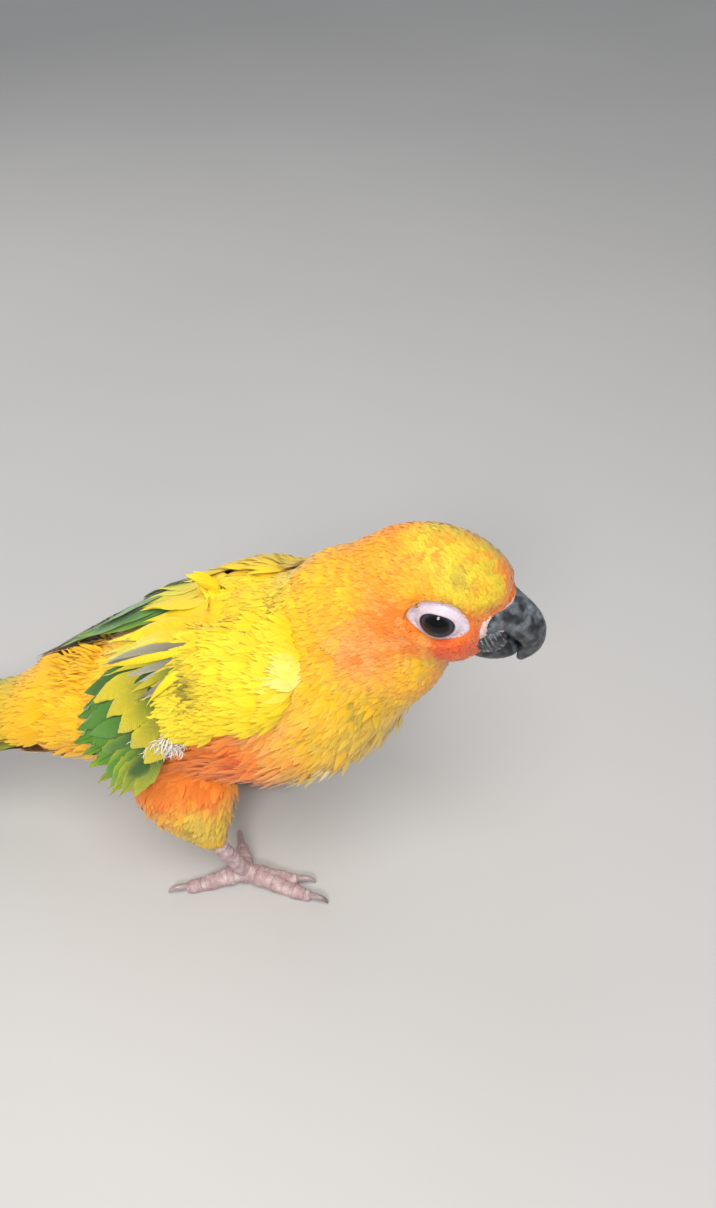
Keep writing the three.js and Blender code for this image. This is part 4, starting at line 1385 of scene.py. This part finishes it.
def nostril_depth(places):
    """How deep in a nostril a place is, 0 to 1."""
    h = in_head(places)
    off = (h - nostril_at) * (1, 0, 1)
    off[:, 1] = np.abs(h[:, 1]) - nostril_side
    return np.exp(-((off / nostril_half) ** 2).sum(1))


wrinkle_rise = 0.14
nostril_sink = 1.1


def cere_rise(places):
    wrinkles = np.array([noise.noise(Vector(p) * 0.9) + 0.5 * noise.noise(Vector(p) * 2.2) for p in places])
    return wrinkle_rise * wrinkles - nostril_sink * nostril_depth(places)


# painted shade: the hollows of the nostrils are coloured dark
painted_nostril_shade = linear(60, 40, 40)
cere_places = shaped(cere_mesh, cere_rise)
nostril_shade = smoothed(nostril_depth(cere_places), 0.25, 0.6)[:, None]
ruddy = smoothed(speckle(cere_places, 1.6, 9.0), 0.45, 0.75)[:, None] * 0.5
colour_attribute(cere_mesh, between(between(rose, blush, ruddy), painted_nostril_shade, nostril_shade))
made_object("pink_cere", cere_mesh, ring_finish, "cere", ("cere",))

# Bill
# A strongly hooked upper half over a short lower half, of dark grey horn. It is satin with paler scuffs and
# growth lines. At the corner of the mouth a lobe of the lower half carries thin pale layers that flake.

slate = linear(70, 76, 82)
ash = linear(116, 123, 130)
ink = linear(30, 32, 35)
bone = linear(190, 187, 180)

horn_finish, horn_shader = new_finish("grey_horn", Roughness=0.38, Specular_IOR_Level=0.5, Coat_Weight=0.15,
                                      Coat_Roughness=0.3)
horn_cloud = grain_of(horn_finish, 620.0, 7.0, 0.72)
horn_tone = ramp(horn_finish, horn_cloud, (0.36, (0.45, 0.45, 0.46)), (0.5, (0.85, 0.85, 0.86)),
                 (0.62, (1.5, 1.52, 1.54)))
horn_rough = ramp(horn_finish, horn_cloud, (0.35, (0.3, 0.3, 0.3)), (0.65, (0.55, 0.55, 0.55)))
tinted(horn_finish, horn_shader, horn_tone)
feed(horn_finish, horn_rough, horn_shader.inputs["Roughness"])
bumped(horn_finish, horn_shader, grain_of(horn_finish, 1900.0, 5.0), 0.35, 0.00025)

corner = np.array((11.4, 6.6, -5.2))
layers_per_mm = 0.85
layer_rise = 0.3
growth_gap = 1.1
growth_rise = 0.02
notch_depth = 0.5
keel_rise = 0.25


def bill_lines(places):
    """Places in the head's frame, how near the corner of the mouth they are and how far across a layer."""
    h = in_head(places)
    off = (h * (1, 0, 1) + np.abs(h) * (0, 1, 0)) - corner
    near = np.exp(-(np.linalg.norm(off * (0.8, 0.5, 0.8), axis=1) / 3.2) ** 4)
    flakes = (layers_per_mm * (h[:, 0] + 0.75 * h[:, 2]) + speckle(places, 4.0, 21.0) * 0.5) % 1.0
    return h, near, flakes


def bill_rise(places):
    """Growth lines, flaking layers, the notch in the upper half's edge and the keel along its top."""
    h, near, flakes = bill_lines(places)
    waver = speckle(places, 1.8, 31.0)
    out = h[:, 0] * 0.9 - h[:, 2] * 0.45
    growth = growth_rise * np.sin(2 * math.pi * (out / growth_gap + waver))
    notch = -notch_depth * np.exp(-(((h[:, 0] - 17.3) / 1.1) ** 2 + ((h[:, 2] + 8.4) / 1.2) ** 2))
    keel = keel_rise * np.exp(-(h[:, 1] / 0.9) ** 2) * smoothed(h[:, 0], 14, 18) * smoothed(-h[:, 2], -3, 2)
    return growth + near * layer_rise * (flakes - 0.5) + notch + keel + 0.12 * (waver - 0.5)


def bill_tint(places):
    """Dark horn, cloudy, paler over the top, with worn pale lines along the flaking layers."""
    h, near, flakes = bill_lines(places)
    cloudy = smoothed(speckle(places, 1.5, 5.0), 0.38, 0.7)[:, None]
    top = (smoothed(h[:, 2], -6, 0) * smoothed(speckle(places, 2.0, 13.0), 0.36, 0.66))[:, None]
    worn = smoothed(speckle(places, 1.6, 41.0), 0.38, 0.55)
    stripe = (smoothed(np.abs(flakes - 0.5), 0.38, 0.47) * smoothed(near, 0.2, 0.5) * worn)[:, None]
    return between(between(between(ink, slate, cloudy), ash, top * 0.7), bone, stripe * 0.7)


bill_up = tuple(head_turn @ Vector((0.8, 0, 0.6)))
upper_form = bmesh.new()
hook = on_head_path((7.5, 0, -0.5), (13.5, 0, -0.8), (18.7, 0, -3.4), (20.6, 0, -8), (19.4, 0, -13.2))
limb(upper_form, hook, (11.0, 8.2, 4.6, 4.4, 3.1, 1.9, 0.8), (5.4, 5.5, 5.1, 4.2, 3.1, 2, 0.8), bill_up,
     around=104, rings=104, roundness=5.0)
lower_form = bmesh.new()
limb(lower_form, on_head_path((6, 0, -7.8), (11.5, 0, -9.9), (18.6, 0, -9.3)), (6.6, 6.2, 5.0, 3.4),
     (3.7, 3.8, 3.5, 2.5), head_up, around=72, rings=56)
for side in (-1, 1):
    limb(lower_form, on_head_path((9.0, side * 7.2, -3.6), (11.6, side * 6.3, -5.0), (15, side * 3.6, -6.6)),
         (1.5, 1.9, 1.5), (2.4, 3.2, 2.2), head_up, around=64, rings=64)
for form, name, node in ((upper_form, "upper_horn", "bill_upper"), (lower_form, "lower_horn", "bill_lower")):
    mesh = mesh_of(form, name)
    colour_attribute(mesh, bill_tint(shaped(mesh, bill_rise)))
    made_object(name, mesh, horn_finish, "bill", (node,))

# Feet
# Two toes ahead and two behind on a short shank, in dull pinkish grey skin. Broad scutes overlap along the
# tops of the toes, small round scales cover the rest, and the soles lie flat. The claws are grey horn.

toe_lengths = [11, 16, 21.5, 18.5]
toe_headings = [113, 3, -11, -158]
sole = 0.52  # just above the floor
ankle = (-4.5, 18, 19)
claw_length = 5.8
toe_parts = 13
pad_length = 5.5
scute_length = 1.75
scute_rise_most = 0.26
pebble_rise = 0.12
pebble_size = 1.15
mauve = linear(196, 166, 168)
groove_grey = linear(120, 98, 100)
shell = linear(214, 192, 190)
claw_root_grey = linear(172, 154, 154)
claw_tip_grey = linear(126, 112, 110)

foot_finish, foot_shader = new_finish("scaly_skin", Roughness=0.6, Specular_IOR_Level=0.35)
foot_place = add_node(foot_finish, "TexCoord").outputs["Object"]
pebbles = add_node(foot_finish, "TexVoronoi", feature="DISTANCE_TO_EDGE", Vector=foot_place,
                   Scale=1500.0).outputs["Distance"]
foot_tone = ramp(foot_finish, pebbles, (0.0, (0.762, 0.734, 0.734)), (0.14, (1, 1, 1)))
foot_shade = ramp(foot_finish, grain_of(foot_finish, 700.0, 5.0), (0.3, (0.82, 0.8, 0.8)),
                  (0.65, (1.05, 1.05, 1.05)))
tinted(foot_finish, foot_shader, foot_tone, foot_shade)
bumped(foot_finish, foot_shader, pebbles, 0.4, 0.0003)
claw_finish = grained_finish("claw_horn", (1400.0, 4.0),
                             ((0.3, (0.75, 0.73, 0.72)), (0.65, (1.05, 1.05, 1.05))), (0.25, 0.0002),
                             Roughness=0.35, Specular_IOR_Level=0.5, Coat_Weight=0.2)


def scute_rise(places, normals, toes):
    """How far the scutes and scales stand out, and how dark the grooves between them are."""
    far = np.full(len(places), 1e9)
    out = np.zeros(len(places))
    for line in toes:
        fine = curve(line, np.linspace(0, 1, 60))
        length = np.concatenate([[0], np.cumsum(np.linalg.norm(np.diff(fine, axis=0), axis=1))])
        gaps = np.linalg.norm(places[:, None] - fine[None], axis=2)
        close = gaps.min(1)
        nearer = close < far
        out[nearer] = length[gaps.argmin(1)][nearer]
        far = np.minimum(far, close)
    saw = (out / scute_length) % 1.0
    top = smoothed(normals[:, 2], 0.05, 0.5)
    ridge = scute_rise_most * top * (smoothed(saw, 0.0, 0.75) * (1 - smoothed(saw, 0.88, 1.0)) - 0.4)
    cell = np.array([noise.voronoi(Vector(p) / pebble_size)[0] for p in places])
    edge = np.clip((cell[:, 1] - cell[:, 0]) * 3, 0, 1)
    pebble = pebble_rise * (1 - top) * (edge - 0.5)
    groove = np.clip(top * (1 - smoothed(saw, 0.0, 0.22)) + 0.6 * (1 - top) * (1 - edge), 0, 1)
    return ridge + pebble, groove


def flat_soled(mesh):
    """Presses what is below the soles' level flat on it."""
    places = places_of(mesh)
    places[:, 2] = np.maximum(places[:, 2], sole)
    move_vertices(mesh, to_row(places))
    return places


for side, half, place in ((-1, "right", (1, -16.3)), (1, "left", (-15, 20.5))):
    heel = np.array((ankle[0] + place[0] - 1, side * ankle[1], ankle[2]))
    middle = np.array((*place, 4.2))
    foot_form = bmesh.new()
    shank = [heel + (-1.6, 0, 3), heel, (*place, 4.4)]
    limb(foot_form, shank, (2, 2.2, 2.2, 2.8), (2.1, 2.3, 2.3, 2.6), (1, 0, 0), roundness=5.0)
    limb(foot_form, [middle + (-2.4, 0, -0.6), middle + (2.4, 0, -0.6)], (3.1, 3.1), (3.2, 3.2), (0, 0, 1),
         roundness=2.0)
    claw_form = bmesh.new()
    toes = [shank]
    for length, heading in zip(toe_lengths, toe_headings):
        turn = math.radians(side * -heading)
        ahead = np.array((math.cos(turn), math.sin(turn), 0))

        def step(share, z):
            return np.array((*place, 0)) + ahead * share * length + np.array((0, 0, z))

        toe = [middle, step(0.3, 3.4), step(0.65, 2.2), step(1, 1.9)]
        along = np.linspace(0, 1, toe_parts)
        pads = [1 + 0.08 * math.cos(2 * math.pi * k / (toe_parts - 1) * length / pad_length)
                for k in range(toe_parts)]
        widths = curve([(w, 0) for w in (2.8, 2.5, 2.15, 1.85)], along)[:, 0] * pads
        depths = curve([(d, 0) for d in (2.7, 2.5, 2.2, 1.95)], along)[:, 0] * pads
        limb(foot_form, toe, widths, depths, (0, 0, 1), roundness=6.0)
        toes.append(toe)
        claw = claw_length / length
        claw_path = [step(1 - 1.8 / length, 2.4), step(1 + 1.6 / length, 3.2), step(1 + 0.66 * claw, 3.1),
                     step(1 + 0.92 * claw, 1.7)]
        limb(claw_form, claw_path, (1, 1, 0.75, 0.32), (1.2, 1.15, 0.85, 0.32), (0, 0, 1), around=24,
             rings=28)
    foot_mesh = softened(remeshed(foot_form, f"scaly_foot_{half}", 0.34 * mm), 3,
                         lambda p: np.full(len(p), -0.05))
    foot_rise, groove = scute_rise(places_of(foot_mesh), normals_of(foot_mesh), toes)
    shaped(foot_mesh, lambda p: foot_rise)
    foot_places = flat_soled(foot_mesh)
    mottle = smoothed(speckle(foot_places, 2.2, 31.0), 0.4, 0.7)[:, None]
    # darker in the grooves between the scutes and the scales
    colour_attribute(foot_mesh, between(between(mauve, shell, mottle), groove_grey, 0.6 * groove[:, None]))
    made_object(foot_mesh.name, foot_mesh, foot_finish, "foot_skin", (f"foot_{half}",))

    claw_mesh = mesh_of(claw_form, f"horn_claws_{half}")
    claw_places = flat_soled(claw_mesh)
    out = np.linalg.norm(claw_places[:, :2] - np.array(place), axis=1)
    root_far = np.min(np.abs(out[:, None] - np.array(toe_lengths)[None]), axis=1)
    tipward = smoothed(root_far, 1.5, 5.0)[:, None]
    colour_attribute(claw_mesh, between(claw_root_grey, claw_tip_grey, tipward))
    made_object(claw_mesh.name, claw_mesh, claw_finish, "claw", [f"claw_{half}_{k}" for k in (1, 2, 3, 4)])
